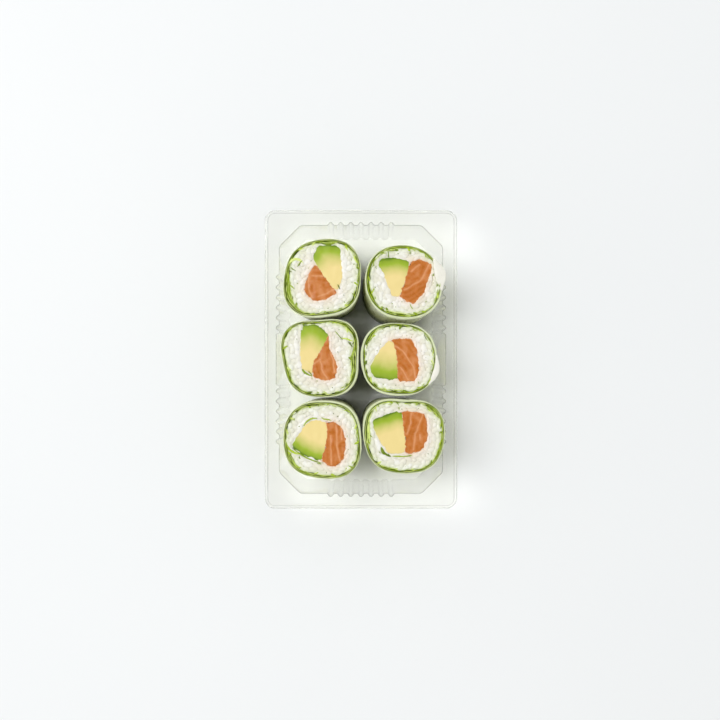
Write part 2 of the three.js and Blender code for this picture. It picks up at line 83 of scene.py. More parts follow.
# One entry for each roll. top and base: centre at the cut face and at the floor. squeeze: width and
# length at the floor against the cut face. height: of the cut face. tilt: its slope. radius and
# lobes: the outline, as mean radius and cosine and sine of 2, 3 and 4 lobes. folds: extra lettuce
# (direction in degrees, half angle, thickness). flap: loose wrapper, alike. cover: how far from the
# roll's middle that end reaches when it is folded over the top. double: extra turns of the wrapper,
# alike. line: how pale its lettuce is. avocado and salmon: corners of the fillings from the roll's
# centre. skin: the avocado's edge that lay under its skin, and how deep the green goes in from it.
# fat: white lines of the salmon. bits: ends of leaf caught in the cut, as (path, thickness, shade
# from dark 0 to pale 1); the darkest are partly painted shade.
ROLLS = (
    dict(top=(-19.8, 41.6), base=(-19.05, 41.1), squeeze=(0.93, 0.965), height=40.3, tilt=(0.012, 0.01),
         radius=20.95, lobes=(-0.08, 0.93, -0.05, -0.27, -0.75, -0.02),
         folds=((202, 50, 2.5), (83, 20, 0.9)), flap=(0, 1, 0), double=((290, 62, 0.5),), line=0.92,
         avocado=((-5.2, 11.2), (-0.8, 3.7), (5.1, -4.5), (8, -5.8), (10.3, 1.5), (9.2, 17),
                  (-2.3, 17.1)),
         salmon=((-3.9, 7.8), (-7.8, 1.4), (-9.9, -6.3), (-4.6, -11.7), (3, -10.5), (7.5, -6.8),
                 (5.1, -4.5), (-0.8, 3.7)),
         skin=(((-5.2, 12.5), (-3.2, 17.1), (9.2, 17)), 5.6),
         fat=(((-7.5, 0.9), (-7.2, -4.8), (-5.5, -9.9)), ((-5.5, 1.4), (0.7, 1.2)),
              ((-2.4, -9.4), (1.6, -7.6), (5.9, -5.3))),
         bits=((((-17.3, 7.6), (-13.7, 10.1), (-10.6, 8.6)), 1.5, 1),
               (((-12.7, 6.5), (-10.6, 9.1)), 0.8, 0.1), (((-16.3, 5.5), (-14.2, 4)), 0.7, 0.15),
               (((7.9, -3.2), (9, -5.3)), 0.6, 0.2), (((15.1, -7.4), (17.2, -9.4)), 0.6, 0.2),
               (((1.2, -17.5), (2.8, -18.3)), 0.5, 0.3),
               (((-0.3, 18.6), (2.7, 17.9), (5.9, 18.3)), 1.5, 0.1),
               (((15.9, 12), (17.9, 8.1)), 1, 0.9))),
    dict(top=(22, 39.7), base=(19.4, 36.9), squeeze=(0.945, 0.965), height=40.9, tilt=(-0.03, -0.03),
         radius=19.98, lobes=(0.34, -0.44, 0.02, -0.07, -0.35, -0.05),
         folds=((262, 22, 0.6), (198, 22, 0.4), (108, 14, 1)), flap=(13, 26, 2.3), cover=16.4,
         double=((-38, 78, 0.75), (248, 60, 0.5), (150, 50, 0.3)), line=0.6,
         avocado=((-12.7, 8.5), (-9.4, 2.3), (-6.2, -7.2), (-2.5, -7.5), (0.7, 0.7), (3.2, 10.8),
                  (-4, 12.6), (-12.3, 12)),
         salmon=((3.2, 10.8), (0.7, 0.7), (-2.5, -7.5), (4.8, -11.6), (10.4, -6), (12.3, 0), (14.5, 6.8),
                 (13.8, 10), (8, 12)),
         skin=(((-12.6, 11.2), (-4, 12.6), (3.2, 10.8)), 4.6),
         fat=(((0.2, -3.9), (5.3, -0.8), (8.9, 1.2), (11.5, 6.4), (13, 9.5)), ((3.8, 5.9), (8.4, 9.2))),
         bits=((((-4.5, -16.8), (-0.6, -17.7), (3.2, -17.3)), 1.2, 0.9),
               (((-8.1, 16), (-7.8, 12.9)), 0.5, 0.1), (((-15.8, 10), (-15.2, 9.1)), 0.5, 0.2),
               (((-14.3, 8.4), (-14.2, 6.9)), 0.5, 0.2), (((3.2, 15.7), (3.4, 14.6)), 0.5, 0.2),
               (((15.1, 4.3), (15.2, 3.3)), 0.6, 0.35), (((17.3, -1.2), (17.1, -2.1)), 0.6, 0.1),
               (((3.2, -11.4), (4.3, -13.7)), 0.5, 0.3), (((-14.8, -7.5), (-14.5, -8.6)), 0.5, 0.3))),
    dict(top=(-20.6, 1.1), base=(-18.95, 0.9), squeeze=(0.93, 0.96), height=39.8, tilt=(-0.01, 0.015),
         radius=21.18, lobes=(-0.1, -0.24, -0.4, 0.67, -1.16, -0.3),
         folds=((-10, 44, 1.9), (50, 20, 0.9), (205, 20, 0.5)), flap=(0, 1, 0),
         double=((325, 60, 0.45), (80, 50, 0.4)), line=0.85,
         avocado=((-10.8, 16.9), (-10.8, -5.2), (-4.6, -8.6), (-4.4, -3.5), (-0.1, 3.8), (4.2, 12),
                  (-2, 16.8)),
         salmon=((4.2, 12), (-0.1, 3.8), (-4.4, -3.5), (-4.2, -10.6), (3.6, -12.1), (7, -11.1), (9, -5.2),
                 (5.2, 3), (4, 8)),
         skin=(((-10.8, 15), (-9.8, 16.9), (-2, 16.8), (4.2, 12)), 6.2),
         fat=(((-4.6, -3.9), (-0.5, -1.3)), ((-0.5, -2.4), (1, -8), (3.1, -10.6)),
              ((4.6, 2.8), (6.2, -2), (6.7, -7.5))),
         bits=((((-9.6, -6.3), (-8.4, -7.8), (-5.6, -9.4)), 1.3, 0.12),
               (((-6.2, -7.4), (-4.9, -9.2), (-4.6, -11.1)), 0.5, 0.1),
               (((14.4, 7.9), (16, 5.4)), 0.8, 0.1), (((7.7, 13.1), (10.8, 9.5)), 0.5, 0.25),
               (((11.3, 9.7), (14, 9.3), (16, 8.4)), 1.2, 0.8), (((-4.1, 18.2), (-1, 17.7)), 0.6, 0.4),
               (((-11.3, 17.4), (-10.3, 17.2)), 0.5, 0.2), (((-2.1, -18), (-1, -18.3)), 0.5, 0.3),
               (((10.3, -15.9), (12, -15.2)), 0.6, 0.35))),
    dict(top=(19.4, 0.2), base=(19.1, -0.9), squeeze=(0.945, 0.96), height=40.6, tilt=(0.015, -0.01),
         radius=19.93, lobes=(0.43, -0.25, 0.09, 0.18, -0.58, -0.02),
         folds=((142, 20, 1), (270, 24, 0.8)), flap=(-17, 24, 1.6), cover=18.6,
         double=((20, 80, 0.8), (165, 75, 0.6), (262, 52, 0.8)), line=0.58,
         avocado=((-5.5, 9.6), (-10.6, 3.7), (-14.8, -4.3), (-12.5, -9.6), (-0.9, -11.4), (-0.5, -5),
                  (-1.4, 4.7), (-2.4, 8.3)),
         salmon=((-4.8, 9.9), (-2.4, 8.3), (-1.4, 4.7), (-0.5, -5), (-0.9, -11.4), (8.8, -11.8),
                 (10.8, -5), (9, 5.5), (6.4, 10.8)),
         skin=(((-13.6, -9.4), (-7, -10.9), (-0.9, -11.4)), 7.4),
         fat=(((-1.4, 6.7), (2.2, 3.7), (5.3, -0.5), (7.9, -4.6), (8.4, -9.7)),
              ((0.7, -4.1), (2.7, -7.2), (4.8, -10.8))),
         bits=((((-15.8, 11.6), (-14.3, 10.2)), 0.8, 0.1), (((-8.6, 15.5), (-7.9, 15.2)), 0.5, 0.2),
               (((12.6, -13.1), (13.4, -12.3)), 0.5, 0.2), (((9.8, -11.6), (10.4, -12.6)), 0.4, 0.3))),
    dict(top=(-19.6, -41.4), base=(-19, -41.1), squeeze=(0.925, 0.965), height=39.6, tilt=(0.01, -0.015),
         radius=21.1, lobes=(0.01, -0.26, -0.33, -0.07, -0.75, 0.03),
         folds=((105, 26, 0.7), (212, 24, 1.2), (255, 20, 0.6)), flap=(0, 1, 0),
         double=((22, 62, 0.6), (80, 40, 0.3)), line=0.9,
         avocado=((-10, 6.6), (-14.2, 0.5), (-16.2, -3.4), (-10, -8), (-1, -11.1), (1, -4.5), (2.4, 5),
                  (1.1, 9.2), (-4.6, 10.5)),
         salmon=((2.4, 5), (1, -4.5), (-1, -11.1), (3.9, -14), (7, -14.2), (11, -9.5), (11.8, -4),
                 (10.7, 5.5), (6.5, 9.1), (1.1, 9.2)),
         skin=(((-16.2, -3.4), (-10, -8), (-1, -11.1)), 4.6),
         fat=(((6.7, 7.7), (7.3, -2.6), (8.8, -11.4)), ((9.3, 6.1), (9.8, 0)),
              ((3.7, 2), (4, -6), (4.2, -12.9))),
         bits=((((-9.6, 7.8), (-6.8, 10.3), (-3.6, 11)), 1, 0.4), (((-3.8, 11.3), (-3, 11)), 0.5, 0.2),
               (((-0.5, 11.2), (1.5, 10.5), (3.9, 10.1)), 0.8, 0.35),
               (((-18.6, -2.2), (-16.6, -5.4), (-12.8, -7.2)), 1.3, 0.55),
               (((-12.2, -8.6), (-11.8, -9.8)), 0.6, 0.2),
               (((-14.6, -5.2), (-8.4, -9.3), (-1.5, -11.7)), 0.8, 0.2),
               (((-15.2, -11), (-14.2, -12.8), (-12.8, -13.9)), 1, 0.6),
               (((-3, -12), (-1, -12.4)), 0.5, 0.2), (((11.9, -15.1), (13.1, -14.4)), 0.7, 0.4),
               (((15, -12.1), (15.6, -11.3)), 0.5, 0.2), (((-2.5, 18.2), (-2.4, 17.2)), 0.5, 0.25),
               (((-14.9, 10.9), (-14.9, 9.9)), 0.5, 0.2))),
    dict(top=(22.1, -39.1), base=(19.3, -39.5), squeeze=(0.89, 0.96), height=40.5, tilt=(-0.015, 0.01),
         radius=21.1, lobes=(0.92, -0.41, 0.06, 0.56, -0.84, 0.02),
         folds=((172, 28, 1.4), (42, 18, 1.8), (247, 18, 0.6), (-28, 18, 0.5)), flap=(0, 1, 0),
         double=((92, 52, 0.7), (150, 40, 0.5), (-60, 60, 0.2)), line=0.74,
         avocado=((-15.8, 4.2), (-12.3, -2.9), (-8, -9.3), (0.3, -9.1), (0.9, -4.4), (0, 2.8),
                  (-1.2, 11.5), (-3, 12.8), (-16, 8)),
         salmon=((-1.2, 11.5), (0, 2.8), (0.9, -4.4), (0.3, -9.1), (4, -9.4), (9.5, -7.5), (12.1, -2.4),
                 (12, 7.9), (10.5, 11.5), (0.5, 12.8)),
         skin=(((-16, 8), (-9, 10.4), (-3, 12.8), (-1.2, 12)), 4.6),
         fat=(((3.7, 11.5), (3.1, 6.4), (1.6, 0.7)), ((9.8, 11.5), (7.3, 3.8), (5.7, -0.8), (4.7, -7.5)),
              ((8.3, 0.2), (8.3, -2.4))),
         bits=((((-17.7, 9.3), (-18.2, 4), (-17.6, -2)), 1.4, 0.85),
               (((-11.6, -6.4), (-10.2, -8.9), (-7.4, -10.6)), 1.9, 0.1),
               (((-2.6, 14.4), (-2.5, 13.4)), 0.5, 0.3),
               (((-5, -10.6), (-0.5, -10.7), (3.4, -10.4)), 1, 0.3),
               (((14, 15.2), (16, 13.2), (16.9, 10.3)), 1.2, 0.8),
               (((-13.1, 15.7), (-13.1, 14.7)), 0.5, 0.3), (((-4.1, 17.2), (-3, 16.4)), 0.5, 0.3))),
)


# ---- settings -----------------------------------------------------------------------------

def linear(code):
    """Linear RGBA of an sRGB hex colour."""
    parts = [int(code[i:i + 2], 16) / 255 for i in (1, 3, 5)]
    return tuple(c / 12.92 if c <= 0.04045 else ((c + 0.055) / 1.055) ** 2.4 for c in parts) + (1.0,)


def colour(name, description, code):
    return bpy.props.FloatVectorProperty(name=name, description=description, subtype="COLOR", size=4,
                                         min=0.0, max=1.0, default=linear(code))


def millimetres(name, description, value, top):
    return bpy.props.FloatProperty(name=name, description=description, default=value * MM, min=0.0,
                                   max=top * MM, precision=5, subtype="DISTANCE", unit="LENGTH")


def count_of(name, description, value):
    return bpy.props.IntProperty(name=name, description=description, default=value, min=0, max=300)


class TraySettings(bpy.types.PropertyGroup):
    """The clear tray."""
    sheet: millimetres("Sheet", "Thickness of the thermoformed sheet", SHEET, 1.0)
    plastic: colour("Plastic", "Tint that the sheet gives to what is behind it", "#F7F7F1")


class RollSettings(bpy.types.PropertyGroup):
    """Wrapper, lettuce and rice of the rolls."""
    film: colour("Film", "Soaked rice paper", "#F0F2E0")
    # dark lettuce, also used as painted shade in the folds of the leaf
    leaf_dark: colour("Leaf Dark", "Lettuce in its folds", "#5E7514")
    leaf_mid: colour("Leaf Middle", "Lettuce blade", "#B5CE35")
    leaf_pale: colour("Leaf Pale", "Lettuce rib and young leaf", "#DFEC90")
    rice: colour("Rice", "Cooked rice", "#EAE7DA")
    grain_length: millimetres("Grain Length", "Length of a cooked grain", 4.9, 9.0)
    grain_width: millimetres("Grain Width", "Width of a cooked grain", 3.0, 5.0)
    grains_top: count_of("Grains Above", "Loose grains in a cut face", 84)
    grains_below: count_of("Grains Below", "Loose grains underneath", 96)


class FillingSettings(bpy.types.PropertyGroup):
    """Avocado and salmon."""
    avocado_skin: colour("Avocado Rim", "Flesh that lay against the skin", "#587A0E")
    avocado_green: colour("Avocado Green", "Green part of the flesh", "#9BB42E")
    avocado_heart: colour("Avocado Heart", "Flesh near the stone", "#ECD792")
    salmon: colour("Salmon", "Lean flesh", "#BE6C24")
    salmon_fat: colour("Salmon Fat", "White lines between the flakes", "#E4A575")


class StageSettings(bpy.types.PropertyGroup):
    """Floor and light."""
    floor: colour("Floor", "Pale floor", "#EEF0F1")
    key_power: bpy.props.FloatProperty(name="Key Light", description="Power of the large soft light",
                                       default=19.0, min=0.0, max=200.0, subtype="POWER", unit="POWER")
    sky: bpy.props.FloatProperty(name="Room Light", description="Strength of the even light all round",
                                 default=0.875, min=0.0, max=5.0)


# ---- making and finishing pieces ----------------------------------------------------------

def grid(bm, across, up, point):
    """A sheet of across by up faces, laid through point(a, b) with a and b from 0 to 1."""
    for v in bmesh.ops.create_grid(bm, x_segments=across, y_segments=up, size=0.5)["verts"]:
        v.co = point(v.co.x + 0.5, v.co.y + 0.5)


def ring(bm, points, filled, z=0.0):
    """A closed ring of edges through the points, as a face or open."""
    made = bmesh.ops.create_circle(bm, cap_ends=filled, segments=len(points), radius=1.0)["verts"]
    for v, p in zip(made, points):
        v.co = Vector((p.x, p.y, z))


def raise_to(bm, height):
    """Pulls the flat faces up into a solid whose top follows height(x, y)."""
    made = bmesh.ops.extrude_face_region(bm, geom=bm.faces[:])["geom"]
    for v in (g for g in made if isinstance(g, bmesh.types.BMVert)):
        v.co.z = height(v.co.x, v.co.y)


def slice_up(bm, normal, places):
    """Cuts a net of finer faces into a solid, square to normal."""
    for at in places:
        bmesh.ops.bisect_plane(bm, geom=bm.verts[:] + bm.edges[:] + bm.faces[:], dist=0.0005,
                               plane_co=Vector(normal) * at, plane_no=normal)


def close_up(bm, distance=0.00002):
    """Merges doubles and shuts open ends, then turns the faces outwards."""
    bmesh.ops.remove_doubles(bm, verts=bm.verts, dist=distance)
    bmesh.ops.dissolve_degenerate(bm, dist=distance, edges=bm.edges)
    bmesh.ops.holes_fill(bm, edges=[e for e in bm.edges if e.is_boundary], sides=0)
    bmesh.ops.recalc_face_normals(bm, faces=bm.faces)


def finish(bm, name, material, node, sharp=40):
    """Turns a bmesh into a piece that rides on the tray and stands for a CAD node."""
    mesh = bpy.data.meshes.new(name)
    bm.to_mesh(mesh)
    bm.free()
    mesh.materials.append(material)
    mesh.shade_smooth()
    mesh.set_sharp_from_angle(angle=radians(sharp))
    piece = bpy.data.objects.new(name, mesh)
    bpy.context.scene.collection.objects.link(piece)
    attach(piece, "root")
    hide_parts(node)
    return piece


def lerp(a, b, t):
    return a + (b - a) * t


def smooth(x):
    x = min(1.0, max(0.0, x))
    return x * x * (3 - 2 * x)


def polar(r, angle):
    return r * cos(angle), r * sin(angle)


def sway(x, y, z, seed):
    """Soft random value of about -0.5 to 0.5 at a place, another pattern for each seed."""
    return noise.noise(Vector((x + 17.3 * seed, y - 9.1 * seed, z + 4.7 * seed)))


# ---- the shape of a roll ------------------------------------------------------------------

def bump(angle, centre, half, height):
    away = abs((degrees(angle) - centre + 540) % 360 - 180)
    return height * cos(away / half * pi / 2) ** 2 if away < half else 0.0


def layers(roll, angle, t=1.0):
    """Radii of a roll's layers at one angle; t is 0 at the floor and 1 at the cut face."""
    body = roll["radius"]
    for size, lobes, wave in zip(roll["lobes"], (2, 2, 3, 3, 4, 4), (cos, sin) * 3):
        body += size * wave(lobes * angle)
    inward = atan2(-roll["top"][1], -roll["top"][0])
    paper_in = body - PAPER - PAPER_OVERLAP * max(0.0, cos(angle - inward))
    fold = sum(bump(angle, *f) for f in roll["folds"])
    return dict(body=body, paper_out=body + t * bump(angle, *roll["flap"]), paper_in=paper_in,
                leaf_in=paper_in - GAP - RIPPLE - LEAF - fold,
                rice=paper_in - 2 * GAP - RIPPLE - LEAF - fold, inward=inward)


def doubled(roll, angle):
    """How much thicker the film is than one turn, where it was wrapped over itself."""
    return 0.1 + sum(bump(angle, *d) for d in roll["double"])


def face_height(roll, u, v):
    return roll["height"] + roll["tilt"][0] * u + roll["tilt"][1] * v


def above_floor(roll, u, v):
    """Height of the cut face above the roll's lower end."""
    return face_height(roll, u, v) - FLOOR


def place(roll, u, v, t):
    """From a roll's own frame (u, v across in mm, t up from 0 to 1) to the tray's, in metres."""
    (bx, by), (tx, ty), (sx, sy) = roll["base"], roll["top"], roll["squeeze"]
    return Vector((lerp(bx, tx, t) + u * lerp(sx, 1, t), lerp(by, ty, t) + v * lerp(sy, 1, t),
                   lerp(FLOOR, face_height(roll, u, v), t))) * MM


def place_at(roll, u, v, w):
    """The same, with the height w in millimetres above the roll's lower end."""
    return place(roll, u, v, w / above_floor(roll, u, v))


# ---- materials ----------------------------------------------------------------------------

def add(tree, kind, **given):
    """Adds a node. A word given is a field of it, a socket (From_Min is the socket From Min, in_6 the
    socket of that number) or the stops of a ramp. A node, or (node, output), is linked to its socket."""
    node = tree.nodes.new("ShaderNode" + kind)
    for key, value in given.items():
        if key == "stops":
            elements = node.color_ramp.elements
            while len(elements) < len(value):
                elements.new(0.5)
            for element, (at, shade) in zip(elements, value):
                element.position, element.color = at, shade
        elif hasattr(node, key):
            setattr(node, key, value)
        else:
            socket = node.inputs[int(key[3:]) if key.startswith("in_") else key.replace("_", " ")]
            if isinstance(value, bpy.types.Node):
                value = value, next(i for i, out in enumerate(value.outputs) if out.enabled)
            if isinstance(value, tuple) and isinstance(value[0], bpy.types.Node):
                tree.links.new(value[0].outputs[value[1]], socket)
            else:
                socket.default_value = value
    return node


def every(mm):
    """Scale of a pattern whose features lie this far apart."""
    return 1 / (mm * MM)


def mixed(a, b, share):
    return tuple(lerp(p, q, share) for p, q in zip(a, b))


def new_material(name):
    """A material, its empty node tree and the place of a point on its object."""
    material = bpy.data.materials.new(name)
    material.use_nodes = True
    tree = material.node_tree
    tree.nodes.clear()
    return material, tree, (add(tree, "TexCoord"), "Object")


def overlaid(tree, tint, *films):
    """The tint under other colours, each (attribute that says where, greatest cover, colour)."""
    for name, most, shade in films:
        where = add(tree, "Attribute", attribute_name=name)
        cover = add(tree, "Math", operation="MULTIPLY", in_0=(where, "Fac"), in_1=most)
        tint = add(tree, "Mix", data_type="RGBA", in_0=cover, in_6=tint, in_7=shade)
    return tint


def wet_surface(tree, tint, pattern, relief, gloss, **more):
    """Last nodes of a damp food: its pattern gives a relief (strength, depth) and an uneven gloss."""
    bumps = add(tree, "Bump", Strength=relief[0], Distance=relief[1], Height=pattern)
    rough = add(tree, "MapRange", From_Min=0.3, From_Max=0.7, To_Min=gloss[0], To_Max=gloss[1],
                Value=pattern)
    shader = add(tree, "BsdfPrincipled", Base_Color=tint, Roughness=rough, Normal=bumps, **more)
    add(tree, "OutputMaterial", Surface=shader)


def clear_plastic(settings):
    """Clear PET sheet, thermoformed: drawn thin and glossy, it shows by its bends and rim alone, with
    a faint unevenness in its reflections, left by the mould, from one centimetre to the next."""
    material, tree, where = new_material("clear PET sheet")
    flow = add(tree, "TexNoise", Scale=every(10.53), Detail=2.0, Roughness=0.45, Vector=where)
    relief = add(tree, "Bump", Strength=0.03, Distance=0.0002, Height=flow)
    shader = add(tree, "BsdfPrincipled", Base_Color=settings.plastic, Roughness=0.06, IOR=1.22,
                 Transmission_Weight=1.0, Alpha=0.62, Normal=relief)
    add(tree, "OutputMaterial", Surface=shader)
    return material


def rice_paper(settings):
    """Soaked rice paper: a thin, half clear film with a damp gloss, cloudy patches some 6 mm across
    where it lies double, and creases. Real creases are a few tenths of a millimetre apart, too fine
    to show, so they are drawn 1.6 mm apart."""
    material, tree, where = new_material("soaked rice paper")
    upright = add(tree, "Mapping", Scale=(1.0, 1.0, 0.35), Vector=where)
    cloud = add(tree, "TexNoise", Scale=every(5.88), Detail=3.0, Vector=upright)
    tint = add(tree, "ValToRGB", Fac=cloud, stops=(
        (0.3, mixed(settings.film, linear("#D4DBA6"), 0.5)), (0.62, settings.film),
        (0.8, mixed(settings.film, linear("#FFFFFF"), 0.5))))
    # the leaf behind: cloudy green where the film clings to it, with its veins; the green grows
    # lower down, painted shade down the sides of the rolls
    height = add(tree, "SeparateXYZ", Vector=where)
    low = add(tree, "MapRange", From_Min=0.041, From_Max=0.014, To_Min=-0.25, To_Max=0.62,
              Value=(height, "Z"))
    patch = add(tree, "TexNoise", Scale=every(9.52), Detail=3.0, Distortion=0.8, Vector=upright)
    cling_and_low_shade = add(tree, "Math", operation="MULTIPLY_ADD", in_0=patch, in_1=1.5, in_2=low)
    cling_and_low_shade = add(tree, "MapRange", interpolation_type="SMOOTHSTEP", From_Min=0.45, From_Max=1.25,
                To_Max=0.85, Value=cling_and_low_shade)
    net = add(tree, "TexVoronoi", feature="DISTANCE_TO_EDGE", Scale=every(8.33), Vector=upright)
    vein = add(tree, "MapRange", From_Min=0.02, From_Max=0.12, To_Min=0.55, To_Max=0.0, Value=net)
    green = add(tree, "Mix", data_type="RGBA", in_0=vein, in_6=linear("#D2D690"), in_7=linear("#E7EAC4"))
    tint = add(tree, "Mix", data_type="RGBA", in_0=cling_and_low_shade, in_6=tint, in_7=green)
    # between the rolls, lower down, the film is painted dark olive, painted shade of the narrow
    # gaps; the cut edge takes its tint from the leaf inside it; the loose end, folded over, is thick
    # enough to look white
    tint = overlaid(tree, tint, ("wet", 1.0, linear("#7E8A34")), ("rim", 0.6, linear("#CDD9A4")),
                    ("fold", 1.0, linear("#F1EFE4")))
    crease = add(tree, "TexNoise", Scale=every(1.613), Detail=4.0, Distortion=0.6, Vector=upright)
    wet_surface(tree, tint, crease, (0.35, 0.00025), (0.22, 0.42), IOR=1.36, Alpha=0.93)
    return material


def lettuce(settings):
    """Lettuce leaf: bright yellow-green blade, paler ribs and almost black folds, in blotches some
    7 mm across, with a waxy gloss broken by veins. The black of the folds is partly painted shade.
    The finest veins, half a millimetre apart, don't show, so the veins are drawn 1.9 mm apart."""
    material, tree, where = new_material("lettuce leaf")
    depth = add(tree, "Attribute", attribute_name="shade")
    upright = add(tree, "Mapping", Scale=(1.0, 1.0, 0.22), Vector=where)
    veins = add(tree, "TexNoise", Scale=every(1.923), Detail=3.0, Vector=upright)
    blotch = add(tree, "TexNoise", Scale=every(6.67), Detail=2.0, Vector=where)
    spread = add(tree, "MapRange", From_Min=0.25, From_Max=0.75, To_Min=-0.22, To_Max=0.22, Value=blotch)
    streak = add(tree, "Math", operation="MULTIPLY_ADD", in_0=veins, in_1=0.3, in_2=-0.15)
    both = add(tree, "Math", operation="ADD", in_0=spread, in_1=streak)
    level = add(tree, "Math", operation="ADD", use_clamp=True, in_0=(depth, "Fac"), in_1=both)
    # the dark end of this ramp is partly painted shade of folds, plies and crevices
    tint = add(tree, "ValToRGB", Fac=level, stops=(
        (0.0, settings.leaf_dark), (0.3, mixed(settings.leaf_dark, settings.leaf_mid, 0.6)),
        (0.6, settings.leaf_mid), (1.0, settings.leaf_pale)))
    wet_surface(tree, tint, veins, (0.5, 0.0003), (0.3, 0.5), IOR=1.33)
    return material


def cooked_rice(settings):
    """Cooked short-grain rice: plump, faintly see-through white grains with a starchy shine, a touch
    warmer or greyer from grain to grain. Their starchy skin is rough at a tenth of a millimetre, too
    fine to show, so it is drawn 1.1 mm apart."""
    material, tree, where = new_material("cooked sushi rice")
    tone = add(tree, "Attribute", attribute_name="tone")
    starch = add(tree, "TexNoise", Scale=every(1.111), Detail=2.0, Vector=where)
    level = add(tree, "Math", operation="MULTIPLY_ADD", use_clamp=True, in_0=starch, in_1=0.3,
                in_2=(tone, "Fac"))
    tint = add(tree, "ValToRGB", Fac=level, stops=(
        (0.0, mixed(settings.rice, linear("#CBCCAA"), 0.65)),
        (0.35, mixed(settings.rice, linear("#E0DFC9"), 0.5)), (0.75, settings.rice),
        (1.0, mixed(settings.rice, linear("#FFFFFF"), 0.6))))
    # light that has passed through the fish or the leaf tints the grains beside it
    tint = overlaid(tree, tint, ("pink", 0.5, linear("#F0C9A8")), ("leafy", 0.5, linear("#D2DFAE")))
    wet_surface(tree, tint, starch, (0.2, 0.00015), (0.28, 0.42), IOR=1.36, Subsurface_Weight=0.06,
                Subsurface_Radius=(0.0012, 0.0011, 0.0009), Subsurface_Scale=1.0)
    return material


def avocado_flesh(settings):
    """Ripe avocado flesh: deep green under the skin, running to butter yellow at the heart, a little
    unevenly every 4 mm, with a smooth oily cut. Its fibres, a few tenths of a millimetre apart, are
    drawn 1.25 mm apart so that they show."""
    material, tree, where = new_material("ripe avocado flesh")
    depth = add(tree, "Attribute", attribute_name="depth")
    wander = add(tree, "TexNoise", Scale=every(3.846), Detail=3.0, Vector=where)
    shift = add(tree, "Math", operation="MULTIPLY_ADD", in_0=wander, in_1=0.12, in_2=-0.06)
    level = add(tree, "Math", operation="ADD", use_clamp=True, in_0=(depth, "Fac"), in_1=shift)
    skin, green, heart = settings.avocado_skin, settings.avocado_green, settings.avocado_heart
    tint = add(tree, "ValToRGB", Fac=level, stops=(
        (0.0, skin), (0.1, mixed(skin, green, 0.7)), (0.26, green), (0.42, mixed(green, heart, 0.4)),
        (0.6, mixed(green, heart, 0.72)), (0.85, heart)))
    fibres = add(tree, "TexNoise", Scale=every(1.25), Detail=2.0, Vector=where)
    wet_surface(tree, tint, fibres, (0.22, 0.0002), (0.36, 0.52), IOR=1.36)
    return material


def raw_salmon(settings):
    """Raw salmon: orange-pink flakes parted by pale lines of fat, wet and glossy on the cut. The
    flesh is blotchy every 5 mm; the lines of fat are frayed by its fibres, which are too fine to
    show and so are drawn 1.4 mm apart."""
    material, tree, where = new_material("raw salmon")
    grain = add(tree, "TexNoise", Scale=every(4.762), Detail=3.0, Distortion=0.4, Vector=where)
    lean, pale = settings.salmon, settings.salmon_fat
    flesh = add(tree, "ValToRGB", Fac=grain, stops=(
        (0.28, mixed(lean, linear("#9A5520"), 0.3)), (0.48, lean),
        (0.7, mixed(lean, linear("#DC9A66"), 0.6))))
    flesh = overlaid(tree, flesh, ("flake", 0.45, mixed(lean, pale, 0.4)))
    fat = add(tree, "Attribute", attribute_name="fat")
    fray = add(tree, "TexNoise", Scale=every(1.4286), Detail=2.0, Vector=where)
    edge = add(tree, "Math", operation="MULTIPLY_ADD", in_0=fray, in_1=0.5, in_2=-0.25)
    share = add(tree, "Math", operation="ADD", use_clamp=True, in_0=(fat, "Fac"), in_1=edge)
    cover = add(tree, "MapRange", From_Min=0.2, From_Max=0.8, To_Max=0.68, Value=share)
    tint = add(tree, "Mix", data_type="RGBA", in_0=cover, in_6=flesh, in_7=pale)
    wet_surface(tree, tint, grain, (0.3, 0.00025), (0.24, 0.4), IOR=1.36, Subsurface_Weight=0.12,
                Subsurface_Radius=(0.0015, 0.0007, 0.0004), Subsurface_Scale=1.0)
    return material


def matt_card(settings):
    """Matt white card of the floor, with the slightest cloudiness over a third of a metre."""
    material, tree, where = new_material("matt white card")
    cloud = add(tree, "TexNoise", Scale=every(333.3), Detail=2.0, Vector=where)
    tint = add(tree, "ValToRGB", Fac=cloud, stops=(
        (0.3, mixed(settings.floor, linear("#D9DEE2"), 0.12)), (0.7, settings.floor)))
    shader = add(tree, "BsdfPrincipled", Roughness=0.8, Base_Color=tint)
    add(tree, "OutputMaterial", Surface=shader)
    return material


# ---- clear tray ---------------------------------------------------------------------------

WALLS = ((1, 0), (0, 1), (-1, 0), (0, -1))      # outward direction of each wall, in turn


def wall_swells(is_long, widen=0.0):
    """Swells of one wall as (distance along it, share of the flute depth)."""
    pitch, faces = FLUTE["pitch"], FLUTE["faces"]

    def scallops(middles):
        across = [2 * k / faces - 1 for k in range(faces + 1)]
        return [(middle + x * (FLUTE["half"] + widen), 0.5 + 0.5 * cos(pi * x))
                for middle in middles for x in across]

    if is_long:
        first = PANEL["half"] + PANEL["land"]
        right = [first + (i + 0.5) * pitch for i in range(FLUTE["per_group"])]
        ramps = [(side * PANEL["half"] + (t - 0.5) * 2 * PANEL["ramp"], smooth(t if side < 0 else 1 - t))
                 for side in (-1, 1) for t in (0.0, 0.25, 0.5, 0.75, 1.0)]
        swells = scallops([-middle for middle in reversed(right)]) + ramps + scallops(right)
    else:
        count = FLUTE["per_short_wall"]
        swells = scallops([(i - (count - 1) / 2) * pitch for i in range(count)])
    return [(swells[0][0] - GUARD, 0.0)] + swells + [(swells[-1][0] + GUARD, 0.0)]


def fillet(before, corner, after, length):
    """Points that round off a corner, starting and ending length away from it."""
    start = corner + (before - corner).normalized() * length
    end = corner + (after - corner).normalized() * length
    shares = [k / FILLET_STEPS for k in range(FILLET_STEPS + 1)]
    return [start.lerp(corner, t).lerp(corner.lerp(end, t), t) for t in shares]


